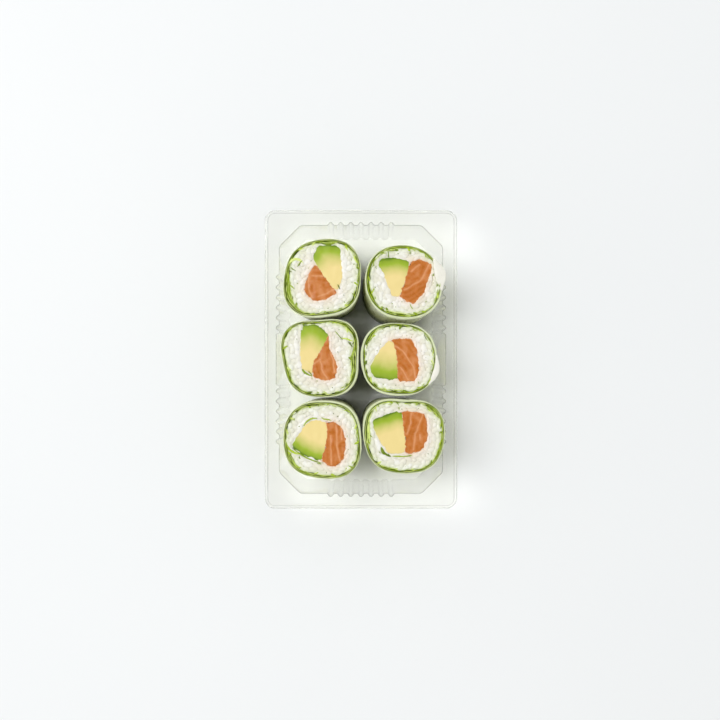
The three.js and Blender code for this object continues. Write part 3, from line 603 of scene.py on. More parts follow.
def well_loop(offset, share, widen=0.0):
    """Outline of the well moved outwards by offset, its flutes swelling by share of their depth."""
    a, b = WELL["half_width"] + offset, WELL["half_length"] + offset
    cut = WELL["corner"] + offset * (2 - sqrt(2))
    corners, points = [], []
    for nx, ny in WALLS:
        out, run = (a, b - cut) if nx else (b, a - cut)
        corners.append([Vector((nx * out - ny * s, ny * out + nx * s)) for s in (-run, run)])
    for i, (nx, ny) in enumerate(WALLS):
        low, high = corners[i]
        before, after = corners[i - 1][1], corners[(i + 1) % 4][0]
        points += fillet(before, low, high, CORNER_FILLET)
        for s, w in wall_swells(bool(nx), widen):
            reach = (a if nx else b) + w * share * FLUTE["depth"]
            points.append(Vector((nx * reach - ny * s, ny * reach + nx * s)))
        points += fillet(low, high, after, CORNER_FILLET)
        far = after + (high - after).normalized() * CORNER_FILLET
        near = high + (after - high).normalized() * CORNER_FILLET
        points += [near.lerp(far, k / CORNER_STEPS) for k in range(1, CORNER_STEPS)]
    return points


def rim_loop(inset):
    """Rounded outline of the rim moved in by inset, with a point for each point of the well."""
    radius = max(RIM["radius"] - inset, 0.5)
    half_x, half_y = RIM["half_width"] - inset, RIM["half_length"] - inset
    arcs, walls = [], []
    for nx, ny in WALLS:
        out, along = (half_x, half_y) if nx else (half_y, half_x)
        straight = along - radius
        run = (WELL["half_length"] if nx else WELL["half_width"]) - WELL["corner"]
        walls.append([Vector((nx * out - ny * s * straight / run, ny * out + nx * s * straight / run))
                      for s, _ in wall_swells(bool(nx))])
        middle = Vector((nx * (out - radius) - ny * straight, ny * (out - radius) + nx * straight))
        turns = [atan2(ny, nx) + pi / 2 * k / (CORNER_POINTS - 1) for k in range(CORNER_POINTS)]
        arcs.append([middle + Vector((cos(t), sin(t))) * radius for t in turns])
    split = FILLET_STEPS + 1        # the arcs are shared out between the walls as the fillets are
    return [p for i in range(4) for p in arcs[i - 1][-split:] + walls[i] + arcs[i][:-split]]


def tray_levels():
    """Loops of the sheet's upper face, from the floor up the wall, over the rim and down the skirt."""
    draft = WELL["draft"]
    low = -draft - WELL["foot"]
    # round the foot of the wall: (height, how far out, share of the flutes' depth)
    well = [(SHEET, low - 1.6, 0.0), (SHEET, low - 0.75, 0.0), (SHEET + 0.04, low - 0.3, 0.02),
            (SHEET + 0.16, low + 0.05, 0.1), (SHEET + 0.36, low + 0.34, 0.3),
            (SHEET + 0.62, low + 0.62, 0.48), (SHEET + 1.0, -draft, 0.58)]
    for t in (k / 8 for k in range(1, 9)):
        well.append((lerp(SHEET + 1.0, RIM_Z - 0.75, t), lerp(-draft, -0.1, t),
                     lerp(FLUTE["foot_share"], 0.985, t)))
    levels = [(z, well_loop(offset, w)) for z, offset, w in well]
    spare = 0.5                     # the land between two flutes leaves room for no more
    for drop, out in ((0.38, 0.0), (0.14, 0.12), (0.03, 0.3), (0.0, 0.5), (0.0, 0.62), (0.0, 0.85)):
        levels.append((RIM_Z - drop, well_loop(out, 1.0, min(out, spare))))
    # straight out past the flutes before the loops spread towards the rim, so that none crosses
    past = well_loop(FLUTE["depth"] + 0.95, 0.0, spare)
    levels.append((RIM_Z, past))
    levels.append((RIM_Z, [p.lerp(q, 0.5) for p, q in zip(past, rim_loop(EDGE[0][0]))]))
    return levels + [(RIM_Z + dz, rim_loop(inset)) for inset, dz in EDGE]


class SUSHI_OT_tray(bpy.types.Operator):
    """Make the clear fluted tray"""
    bl_idname = "sushi.tray"
    bl_label = "Clear Tray"

    def execute(self, context):
        settings = context.scene.sushi_tray
        levels = tray_levels()
        bm = bmesh.new()
        order = bm.verts.layers.int.new("order")
        ring(bm, levels[0][1], True)
        loop, edges = bm.verts[:], bm.edges[:]
        for k, v in enumerate(loop):
            v[order] = k
        for z, points in levels:
            for v in loop:
                v.co = Vector((*points[v[order]], z)) * MM
            if points is levels[-1][1]:
                break
            made = bmesh.ops.extrude_edge_only(bm, edges=edges)["geom"]
            loop = [g for g in made if isinstance(g, bmesh.types.BMVert)]
            edges = [g for g in made if isinstance(g, bmesh.types.BMEdge) and g.is_boundary]
        bmesh.ops.recalc_face_normals(bm, faces=bm.faces)
        if max(bm.faces, key=lambda f: f.calc_area()).normal.z < 0:     # the floor has to face up
            bmesh.ops.reverse_faces(bm, faces=bm.faces)
        piece = finish(bm, "tray_shell", clear_plastic(settings), "tray", sharp=35)
        wall = piece.modifiers.new("sheet", "SOLIDIFY")
        wall.thickness = settings.sheet
        wall.offset = -1.0
        piece.visible_shadow = False
        return {"FINISHED"}


def each_roll(make, *given):
    """Makes one kind of piece for every roll; the last step of an operator."""
    for number, roll in enumerate(ROLLS, 1):
        make(roll, number, *given)
    return {"FINISHED"}


# ---- wrapper ------------------------------------------------------------------------------

# Round a band's cross-section: (depth from outer 0 to inner 1, height from floor 0 to face 1).
SIDE = (0.0, 0.08, 0.22, 0.38, 0.54, 0.7, 0.83, 0.92, 0.975)
BAND = (tuple((0.0, t) for t in SIDE) + ((0.06, 0.991), (0.28, 1.0), (0.72, 1.0), (0.94, 0.991))
        + tuple((1.0, t) for t in reversed(SIDE)) + ((0.5, 0.0), (0.0, 0.0)))

# Cross-section of the folded end: (share of the way outwards, share of the height).
FOLD = ((0.0, 0.0), (0.0, 0.6), (0.05, 1.0), (0.3, 1.2), (0.65, 1.25), (0.92, 1.0), (1.0, 0.4),
        (1.0, -1.6), (0.6, -0.9), (0.25, 0.0), (0.0, 0.0))


def band(bm, roll, outer, thick, start, end, around, ragged, seed, lift=0.0):
    """A closed band or strip of film or leaf standing in the roll. outer and thick give its outer
    radius and its thickness at an angle and height; its upper edge is lifted and ragged."""
    def point(a, b):
        angle = lerp(start, end, a)
        depth, t = BAND[round(b * (len(BAND) - 1))]
        u, v = polar(outer(angle, t) - depth * thick(angle, t), angle)
        spot = place(roll, u, v, t)
        spot.z += MM * smooth((t - 0.9) / 0.1) * (lift + ragged * sway(u * 0.45, v * 0.45, 0, seed))
        return spot
    grid(bm, around, len(BAND) - 1, point)


def folded_end(bm, roll, number):
    """The loose end of the film, flopped over the cut edge of the roll."""
    centre, half, _ = roll["flap"]
    start, end = radians(centre - half * 0.97), radians(centre + half * 0.97)

    def point(a, b):
        angle = lerp(start, end, a)
        share = bump(angle, centre, half, 1.0)
        at = layers(roll, angle)
        across, up = FOLD[round(b * (len(FOLD) - 1))]
        inner = lerp(at["paper_in"] - 0.2, roll["cover"], share ** 0.5)
        u, v = polar(lerp(inner, at["paper_out"] + 0.02, across), angle)
        pucker = 1 + 0.5 * sway(u * 0.5, v * 0.5, 0, number)
        height = 0.25 * min(1.0, 3 * share) + 0.62 * up * share ** 0.4 * pucker
        return place_at(roll, u, v, above_floor(roll, u, v) + height)

    grid(bm, 30, len(FOLD) - 1, point)


def make_wrapper(roll, number, film):
    bm = bmesh.new()
    seam = layers(roll, 0.0)["inward"] + (0.9 if number % 2 else -0.8)

    def outer(angle, t):
        at = layers(roll, angle, t)
        u, v = polar(4, angle)
        crease = 0.16 * abs(sway(u * 1.6, v * 1.6, t * 1.3, number))
        pull = 0.22 * abs(sway(u * 0.6, v * 0.6, t * 4.0, number + 20))
        step = 0.24 * exp(-((angle - seam - 0.12 * t) % (2 * pi)) / 0.45)
        flap = at["paper_out"] - at["body"]
        return at["body"] + flap * t ** 0.6 - (crease + pull) * (1 if flap < 0.1 else 0.4) - step

    def thick(angle, t):
        return max(0.2, outer(angle, t) - layers(roll, angle, t)["paper_in"] + doubled(roll, angle))

    fold = bm.verts.layers.float.new("fold")
    band(bm, roll, outer, thick, 0.0, 2 * pi, ROUND + 16, 0.35, number)
    if "cover" in roll:
        wrapped = set(bm.verts)
        folded_end(bm, roll, number)
        for v in bm.verts:
            v[fold] = 0.0 if v in wrapped else 1.0
    close_up(bm)
    bm.normal_update()
    rim, wet = bm.verts.layers.float.new("rim"), bm.verts.layers.float.new("wet")
    for v in bm.verts:
        x, y, z = v.co / MM
        v[rim] = smooth(1.4 * v.normal.z) if z > 20 else 0.0
        # painted shade where the film faces another roll, the more so lower down
        between = max(smooth((17 - abs(x)) / 8), smooth((9 - abs(abs(y) - ROW_GAP)) / 5))
        v[wet] = between * smooth((19 - z) / 10)
    finish(bm, f"wrapper_{number}", film, f"rice_paper_{number}")


class SUSHI_OT_wrappers(bpy.types.Operator):
    """Wrap the rolls in soaked rice paper"""
    bl_idname = "sushi.wrappers"
    bl_label = "Rice Paper"

    def execute(self, context):
        return each_roll(make_wrapper, rice_paper(context.scene.sushi_rolls))


# ---- lettuce ------------------------------------------------------------------------------

# Round the cross-section of a bit of leaf: (share of its thickness, share of its depth).
BIT = ((0.5, -1.0), (0.5, -0.5), (0.45, -0.1), (0.2, 0.0), (-0.2, 0.0), (-0.45, -0.1), (-0.5, -0.5),
       (-0.5, -1.0), (0.5, -1.0))
BIT_DEEP = 3.2                  # how far down a bit of leaf reaches
PLY = 0.42                      # one ply of folded leaf
# the darker plies, set lower, stand for painted shade in the gaps between plies
PLIES = ((1.0, 0.5), (0.45, -0.25), (0.92, 0.35), (0.6, -0.1))     # shade and lift, in turn


def shaded(bm, layer, shade, seed, spread):
    """Gives every new point (one whose shade is still 0) its shade, a little uneven."""
    for v in bm.verts:
        if v[layer] == 0.0:
            p = v.co / MM
            v[layer] = min(1.0, max(0.02, shade + spread * sway(p.x * 0.22, p.y * 0.22, p.z * 0.12, seed)))


def path_point(path, a):
    """Point and unit normal on a smoothed path of two or three points."""
    points = [Vector(p) for p in path]
    if len(points) == 2:
        points.insert(1, points[0].lerp(points[1], 0.5))
    p, q, r = points
    q = q * 2 - (p + r) * 0.5
    along = (q - p).lerp(r - q, a)
    if along.length < 1e-6:
        along = Vector((1, 0))
    return p.lerp(q, a).lerp(q.lerp(r, a), a), Vector((-along.y, along.x)).normalized()


def leaf_bit(bm, roll, path, thickness, seed):
    """An end of leaf caught upright in the cut: a short wavy strip, a little proud of the rice."""
    def point(a, b):
        side, down = BIT[round(b * (len(BIT) - 1))]
        spot, normal = path_point(path, lerp(-0.12, 1.12, a))
        width = thickness * sin(pi * min(1.0, max(0.0, a))) ** 0.45
        spot = spot + normal * (side * width + 0.25 * sway(a * 3.1, down * 0.8, 0, seed))
        reach = layers(roll, atan2(spot.y, spot.x))["leaf_in"] + LEAF + 0.15
        if spot.length > reach:
            spot *= reach / spot.length
        proud = 0.42 + 0.35 * sway(a * 2.2, 1.7, 0, seed + 5)
        return place_at(roll, *spot, above_floor(roll, *spot) + proud + BIT_DEEP * down)

    grid(bm, 12, len(BIT) - 1, point)


def specks(bm, roll, number, count=12):
    """Crumbs of dark leaf lying on the rice."""
    rng = np.random.default_rng(90 + number)
    spots = grain_spots(rng, rice_rim(roll), fillings_of(roll), 60, 0.8)
    for k in rng.permutation(len(spots))[:count]:
        spot = spots[k][0]
        size = float(rng.uniform(0.22, 0.42))
        made = bmesh.ops.create_icosphere(bm, subdivisions=1, radius=size)["verts"]
        turn = Euler(tuple(rng.uniform(-0.5, 0.5, 2)) + (float(rng.uniform(0, 6)),)).to_matrix()
        for v in made:
            p = turn @ Vector((v.co.x * 1.3, v.co.y * 0.6, v.co.z * 0.4))
            v.co = place_at(roll, *(p + Vector((*spot, above_floor(roll, *spot) + 0.14))))


def frills(bm, layer, roll, number, count=12):
    """Torn ends of the leaf's edge, reaching in between the grains all round."""
    rng = random.Random(140 + number)
    for k in range(count):
        angle = 2 * pi * (k + rng.uniform(0.1, 0.9)) / count
        out = layers(roll, angle)["rice"] + 0.7
        inner = out - rng.uniform(0.8, 2.0)
        lean = angle + rng.choice((-1, 1)) * rng.uniform(0.03, 0.16)
        leaf_bit(bm, roll, (polar(out, angle), polar(inner, lean)), rng.uniform(0.5, 1.3), number * 53 + k)
        # some frills are painted dark: painted shade of the crevices between the grains
        shaded(bm, layer, rng.choice((0.12, 0.3, 0.6, 0.85)), number + k, 0.2)


def make_leaf(roll, number, green):
    bm = bmesh.new()
    layer = bm.verts.layers.float.new("shade")
    specks(bm, roll, number)
    shaded(bm, layer, 0.14, number, 0.2)
    rng = random.Random(40 + number)
    phase = rng.uniform(0, 6)

    def wave(angle, t, turns, swing, shift):
        return swing * (0.5 + 0.5 * sin(turns * angle + shift + 1.5 * t))

    def main_outer(angle, t):
        clear = layers(roll, angle, t)["paper_in"] - 0.12 - doubled(roll, angle)
        return clear - wave(angle, t, 9, 0.22, phase) - wave(angle, t, 23, 0.1, phase * 2)

    def uneven(angle, t):
        return 0.36 + 0.42 * sway(9 * cos(angle), 9 * sin(angle), t * 1.5, number + 60)

    band(bm, roll, main_outer, uneven, 0, 2 * pi, ROUND, 0.9, number, 0.3)
    shaded(bm, layer, roll["line"], number, 0.6)

    # a second turn of leaf inside the first, now close to it and now standing off, frilly on top;
    # it is painted darker, painted shade of the crevice between leaf and rice
    def inner_outer(angle, t):
        frill = wave(angle, t, 17, 0.4, phase * 3) + wave(angle, t, 31, 0.3, phase * 5)
        return (main_outer(angle, t) - uneven(angle, t) - 0.04 - wave(angle, t, 5, 0.2, phase + 1)
                - smooth((t - 0.8) / 0.2) * frill)

    band(bm, roll, inner_outer, lambda angle, t: 0.32, 0, 2 * pi, 2 * ROUND, 1.5, number + 10, 0.1)
    shaded(bm, layer, 0.46, number + 10, 1.1)

    # layers of leaf lying folded on each other, every other one painted darker as painted shade
    # between them
    for k, (centre, half, depth) in enumerate(roll["folds"]):
        plies = max(1, round(depth / 0.52))
        for ply in range(plies):
            reach = radians(half) * (1.0 - 0.45 * ply / plies)
            middle = radians(centre) + rng.uniform(-0.2, 0.2) * reach
            shift = rng.uniform(0, 6)

            def outer(angle, t, ply=ply, shift=shift):
                sink = bump(angle, centre, half, depth) * (ply + 0.25) / plies
                return main_outer(angle, t) - 0.72 - sink - wave(angle, t, 13, 0.16, shift)

            def thick(angle, t, middle=middle, reach=reach):
                return max(0.0, PLY * (1 - min(1.0, abs(angle - middle) / reach) ** 6))

            shade, lift = PLIES[(ply + k) % len(PLIES)]
            band(bm, roll, outer, thick, middle - reach, middle + reach, 40, 1.3,
                 number * 7 + k + ply, lift)
            shaded(bm, layer, shade, number + ply, 0.4)
    frills(bm, layer, roll, number)
    # the darkest bits stand partly for painted shade on leaf lying in the cut
    for k, (path, thickness, shade) in enumerate(roll["bits"]):
        leaf_bit(bm, roll, path, thickness, number * 31 + k)
        shaded(bm, layer, shade, number + k, 0.1)
    close_up(bm)
    finish(bm, f"leaf_{number}", green, f"lettuce_{number}", sharp=50)


class SUSHI_OT_lettuce(bpy.types.Operator):
    """Line the rolls with folded lettuce"""
    bl_idname = "sushi.lettuce"
    bl_label = "Lettuce"

    def execute(self, context):
        return each_roll(make_leaf, lettuce(context.scene.sushi_rolls))


# ---- outlines of the fillings -------------------------------------------------------------

def sides(outline):
    return zip(outline, outline[1:] + outline[:1])


def corner_cut(points, share):
    cut = []
    for i, p in enumerate(points):
        cut += [p.lerp(points[i - 1], share), p.lerp(points[(i + 1) % len(points)], share)]
    return cut


def grown(points, distance):
    """The outline with its sides moved outwards by distance; inwards if it is negative."""
    result = []
    for i, p in enumerate(points):
        d1, d2 = (p - points[i - 1]).normalized(), (points[(i + 1) % len(points)] - p).normalized()
        n1, n2 = Vector((d1.y, -d1.x)), Vector((d2.y, -d2.x))
        result.append(p + (n1 + n2) * (distance / max(1 + n1.dot(n2), 0.35)))
    return result


def filling_outline(roll, key):
    """Outline of a filling, kept inside the rice and with its corners softened."""
    kept = []
    for u, v in roll[key]:
        angle = atan2(v, u)
        kept.append(Vector(polar(min(hypot(u, v), layers(roll, angle)["rice"] - RICE_BRIDGE), angle)))
    return corner_cut(corner_cut(kept, CORNER_CUT), CORNER_CUT)


def fillings_of(roll):
    return [filling_outline(roll, key) for key in ("avocado", "salmon")]


FRAY_STEP = 0.5                 # spacing of the points along a frayed edge


def frayed(outline, seed, swing):
    """The outline with more points, pushed in and out a little."""
    result = []
    for p, q in sides(outline):
        side = (q - p).length
        if side < 1e-4:
            continue
        out = Vector((q.y - p.y, p.x - q.x)) / side
        count = max(1, round(side / FRAY_STEP))
        for k in range(count):
            at = p.lerp(q, k / count)
            result.append(at + out * swing * (sway(at.x * 0.5, at.y * 0.5, 0, seed)
                                              + 1.1 * sway(at.x * 1.1, at.y * 1.1, 5, seed)))
    return result


def distances_to(points, path):
    """Distance of each of many points to a path."""
    stops = np.array([tuple(p) for p in path])
    a, b = stops[:-1], stops[1:]
    rel = points[:, None, :] - a[None, :, :]
    share = np.clip((rel * (b - a)).sum(-1) / np.maximum(((b - a) ** 2).sum(-1), 1e-9), 0, 1)
    return np.linalg.norm(rel - share[..., None] * (b - a), axis=-1).min(1)


def distances_inside(points, outline):
    """Signed distance of many points to a closed outline; positive inside."""
    closed = outline + outline[:1]
    stops = np.array([tuple(p) for p in closed])
    a, b = stops[:-1], stops[1:]
    crosses = (a[:, 1] > points[:, 1:2]) != (b[:, 1] > points[:, 1:2])
    with np.errstate(divide="ignore", invalid="ignore"):
        at = (b[:, 0] - a[:, 0]) * (points[:, 1:2] - a[:, 1]) / (b[:, 1] - a[:, 1]) + a[:, 0]
    inside = (crosses & (points[:, 0:1] < at)).sum(1) % 2 == 1
    away = distances_to(points, closed)
    return np.where(inside, away, -away)


def smooth_path(path, steps=8):
    """Points along a soft curve through the given ones."""
    points = [Vector(p) for p in path]
    if len(points) < 3:
        return points
    padded = [points[0] * 2 - points[1]] + points + [points[-1] * 2 - points[-2]]
    curve = []
    for p0, p1, p2, p3 in zip(padded, padded[1:], padded[2:], padded[3:]):
        for t in (k / steps for k in range(steps)):
            curve.append(0.5 * (2 * p1 + (p2 - p0) * t + (2 * p0 - 5 * p1 + 4 * p2 - p3) * t * t
                                + (3 * p1 - p0 - 3 * p2 + p3) * t ** 3))
    return curve + [points[-1]]


def flat_places(bm):
    return np.array([(v.co.x, v.co.y) for v in bm.verts])


# ---- avocado and salmon -------------------------------------------------------------------

EDGE_RADIUS = 0.14              # rounding of a filling's cut edges
AVOCADO_NET, SALMON_NET, UPRIGHT_NET = 0.62, 0.48, 3.6     # faces of a filling, across and upright
AVOCADO_FRAY, SALMON_FRAY = 0.28, 0.62  # how far the cut edges wander
FAT_WIDTH = 0.72                # from the middle of a line of fat to where it has faded out
FLAKE = 2.3                     # from one flake of salmon to the next


def block(roll, outline, net):
    """A solid of the outline from the floor to the cut face, edges rounded, cut into a fine net.
    It stands in the roll's own frame, in millimetres; settle() lays it in the roll."""
    bm = bmesh.new()
    ring(bm, outline, True)
    raise_to(bm, lambda x, y: above_floor(roll, x, y))
    bmesh.ops.recalc_face_normals(bm, faces=bm.faces)
    ends = [e for e in bm.edges if abs(e.verts[0].co.z - e.verts[1].co.z) < 0.5]
    bmesh.ops.bevel(bm, geom=ends, offset=EDGE_RADIUS, offset_type="OFFSET", segments=2, profile=0.5,
                    affect="EDGES", material=-1, clamp_overlap=True)
    xs, ys = [p.x for p in outline], [p.y for p in outline]
    for low, high, step, normal in ((min(xs), max(xs), net, (1, 0, 0)), (min(ys), max(ys), net, (0, 1, 0)),
                                    (0.0, roll["height"], UPRIGHT_NET, (0, 0, 1))):
        count = int((high - low) / step)
        slice_up(bm, normal, [low + (k - 0.5) * (high - low) / count for k in range(1, count + 1)])
    bmesh.ops.remove_doubles(bm, verts=bm.verts, dist=0.02)
    return bm


def settle(bm, roll):
    for v in bm.verts:
        v.co = place_at(roll, *v.co)
    bmesh.ops.recalc_face_normals(bm, faces=bm.faces)


def near_ends(roll, at, depth):
    """How close a point lies to the cut face and to the lower end, 1 on it and 0 at depth."""
    x, y, z = at
    return smooth((z - face_height(roll, x, y) + FLOOR + depth) / depth), smooth((depth - z) / depth)


def make_avocado(roll, number, flesh):
    outline = grown(filling_outline(roll, "avocado"), EDGE_RADIUS)
    bm = block(roll, frayed(outline, number, AVOCADO_FRAY), AVOCADO_NET)
    layer = bm.verts.layers.float.new("depth")
    for v, away in zip(bm.verts, distances_to(flat_places(bm), smooth_path(roll["skin"][0], 4))):
        x, y, z = v.co
        away += 0.5 * sway(x * 0.25, y * 0.25, z * 0.08, number)
        v[layer] = min(1.0, max(0.0, away / roll["skin"][1] * 0.42))
        top, low = near_ends(roll, v.co, 1.2)
        rough = sway(x * 0.35, y * 0.35, z * 0.3, number + 3)
        fine = sway(x * 1.3, y * 1.3, z * 0.5, number + 4)
        inner = 0.1 * (1 - top) * (1 - low)
        v.co = x + rough * inner, y + fine * inner, z + (top - low) * (0.2 * rough + 0.06 * fine - 0.05)
    settle(bm, roll)
    finish(bm, f"avocado_wedge_{number}", flesh, f"avocado_{number}")


def make_salmon(roll, number, flesh):
    outline = filling_outline(roll, "salmon")
    bm = block(roll, frayed(outline, number + 40, SALMON_FRAY), SALMON_NET)
    layer, flake = bm.verts.layers.float.new("fat"), bm.verts.layers.float.new("flake")
    bent = []                   # where each point lies in the pattern, which leans as it goes down
    for x, y, z in (v.co for v in bm.verts):
        down = above_floor(roll, x, y) - z
        bent.append((x + 0.03 * down + 0.5 * sway(x * 0.3, y * 0.3, z * 0.07, number),
                     y + 0.02 * down + 0.5 * sway(y * 0.3, x * 0.3, z * 0.07, number + 8)))
    away = np.min([distances_to(np.array(bent), smooth_path(path)) for path in roll["fat"]], axis=0)
    rims = np.exp(-np.maximum(distances_inside(flat_places(bm), outline), 0) / 0.7)
    for v, gone, rim in zip(bm.verts, away, rims):
        x, y, z = v.co
        v[flake] = 0.5 + 0.5 * sin(2 * pi * gone / FLAKE + 2 * sway(*(v.co * 0.2), number))
        fat = max(0.0, 1 - gone / FAT_WIDTH)
        patch = 0.45 + 0.6 * sway(x * 0.7, y * 0.7, 0, number + 60)
        v[layer] = max(fat, patch * rim)    # the cut edges are paler too, in patches
        top, low = near_ends(roll, v.co, 1.0)
        rough = sway(x * 0.4, y * 0.4, z * 0.3, number + 5)
        z += (top - low) * (0.22 * rough - 0.16 * smooth(fat) + 0.02)
        inner = 0.1 * (1 - top) * (1 - low)
        v.co = x + rough * inner, y + sway(y * 0.5, z * 0.4, x * 0.5, number + 6) * inner, z
    settle(bm, roll)
    finish(bm, f"salmon_block_{number}", flesh, f"salmon_{number}")


class SUSHI_OT_avocado(bpy.types.Operator):
    """Put the avocado wedges in the rolls"""
    bl_idname = "sushi.avocado"
    bl_label = "Avocado"

    def execute(self, context):
        return each_roll(make_avocado, avocado_flesh(context.scene.sushi_fillings))


class SUSHI_OT_salmon(bpy.types.Operator):
    """Put the salmon blocks in the rolls"""
    bl_idname = "sushi.salmon"
    bl_label = "Salmon"

    def execute(self, context):
        return each_roll(make_salmon, raw_salmon(context.scene.sushi_fillings))


# ---- rice ---------------------------------------------------------------------------------

CORE_DEEP = 0.24                # the pressed rice under the grains lies this far below the cut
CORE_TUCK = 0.3                 # and reaches this far in under the edges of the fillings
CORE_NET, CORE_UPRIGHT_NET = 1.1, 5.0   # its faces, across and upright
STANDING = 0.45                 # share of the grains that stand on end
MARGIN = 0.55                   # least distance of a grain's middle from an edge
EDGE_BAND = 2.4                 # grains nearer to an edge than this lie along it
LOOSE_BAND = 2.6                # grains nearer to the leaf than this kept more of their round backs
SPOT_TRIES = 2600
RIM_POINTS = 72


def rice_rim(roll, over=0.12):
    """Outline of the rice, moved outwards by over."""
    angles = [2 * pi * k / RIM_POINTS for k in range(RIM_POINTS)]
    return [Vector(polar(layers(roll, angle)["rice"] + over, angle)) for angle in angles]


def grain_spots(rng, rim, holes, count, margin):
    """Spots spread evenly over the rice, each the farthest of many from those before it."""
    reach = max(p.length for p in rim)
    tries = rng.uniform(-reach, reach, (SPOT_TRIES, 2))
    room = distances_inside(tries, rim)
    for hole in holes:
        room = np.minimum(room, -distances_inside(tries, hole))
    tries, room = tries[room > margin], room[room > margin]
    away = np.minimum(2.6 * room, 99.0)
    chosen = []
    for _ in range(min(count, len(tries))):
        best = int(np.argmax(away * rng.uniform(0.8, 1.0, len(away))))
        chosen.append((Vector(tries[best]), float(room[best])))
        away = np.minimum(away, np.linalg.norm(tries - tries[best], axis=1))
    return chosen


def rice_core(bm, roll, number, rim, holes):
    """The pressed body of rice, with the two fillings' openings, a little below the cut."""
    for outline in [rim] + holes:
        ring(bm, outline, False, 0.55)
    bmesh.ops.triangle_fill(bm, use_beauty=True, edges=bm.edges[:])
    raise_to(bm, lambda x, y: above_floor(roll, x, y) - CORE_DEEP)
    reach = max(p.length for p in rim)
    across, upright = (-reach, reach, CORE_NET), (1.0, roll["height"] - 3, CORE_UPRIGHT_NET)
    for (low, high, step), normal in ((across, (1, 0, 0)), (across, (0, 1, 0)), (upright, (0, 0, 1))):
        count = int((high - low) / step)
        slice_up(bm, normal, [lerp(low, high, k / count) for k in range(1, count)])
    for v in bm.verts:
        top = v.co.z > roll["height"] - 4
        if top or v.co.z < 0.7:
            v.co.z += (0.22 if top else -0.3) * sway(v.co.x * 0.42, v.co.y * 0.42, 0, number)


def grain_shape():
    """Points and faces of one plump, slightly bent grain, a unit across and a unit long."""
    bm = bmesh.new()
    bmesh.ops.create_uvsphere(bm, u_segments=8, v_segments=6, radius=0.5)
    points = np.array([(v.co.x + 0.42 * (v.co.z ** 2 - 0.1), v.co.z, v.co.y) for v in bm.verts])
    faces = [[v.index for v in f.verts] for f in bm.faces]
    bm.free()
    return points, faces


def edge_direction(spot, outlines):
    """Heading of the nearest side of some outlines."""
    best, heading = 1e9, 0.0
    for p, q in (side for outline in outlines for side in sides(outline)):
        share = min(1.0, max(0.0, (spot - p).dot(q - p) / max((q - p).length_squared, 1e-9)))
        away = (p.lerp(q, share) - spot).length
        if away < best:
            best, heading = away, atan2(q.y - p.y, q.x - p.x)
    return heading


def lay_grain(rng, shape, spot, room, size, top, face, along, loose):
    """Points of one grain laid in the rice, cut flat where the knife or the floor met it; a loose
    one near the leaf kept more of its round back."""
    length, width = size[0] * rng.uniform(0.85, 1.12), size[1] * rng.uniform(0.88, 1.1)
    standing = rng.random() < STANDING and along is None
    lean = rng.uniform(55, 90) if standing else rng.uniform(-16, 16)
    heading = rng.uniform(0, 2 * pi) if along is None else along - pi / 2 + rng.uniform(-0.35, 0.35)
    turn = Euler((radians(lean), 0, heading), "XYZ").to_matrix()
    tight = min(1.0, (room + 0.42) / (width * 0.5))     # narrower where it lies against an edge
    points = (shape * (width * tight, length, width * 0.92)) @ np.array(turn).T
    sink = (length * 0.3 if standing else width * (0.3 if loose else 0.12)) - rng.uniform(0.0, 0.12)
    points += (spot.x, spot.y, face - sink if top else sink)
    skim = rng.uniform(0.0, 0.34 if loose else 0.1)
    z, cut = points[:, 2], face + skim
    if top:
        points[:, 2] = np.where(z > cut, cut + (z - face - skim) * (0.25 if loose else 0.08), z)
    else:
        points[:, 2] = np.maximum(z, 0.02 + skim * 0.3)
    return points


def pressed_over(rng, fish, avocado, rim, count=9):
    """Spots for grains pressed half over the edge of the fish, clear of the avocado."""
    spots = []
    for k in rng.integers(0, len(fish), 3 * count):
        p, q = fish[k - 1], fish[k]
        side = (q - p).normalized()
        spot = p.lerp(q, float(rng.random())) + Vector((side.y, -side.x)) * float(rng.uniform(0.3, 0.9))
        near = np.array([tuple(spot)])
        if distances_inside(near, avocado)[0] < -1.7 and distances_inside(near, rim)[0] > 1.0 and all(
                (spot - other).length > 1.9 for other, _ in spots):
            spots.append((spot, atan2(side.y, side.x)))
    return spots[:count]


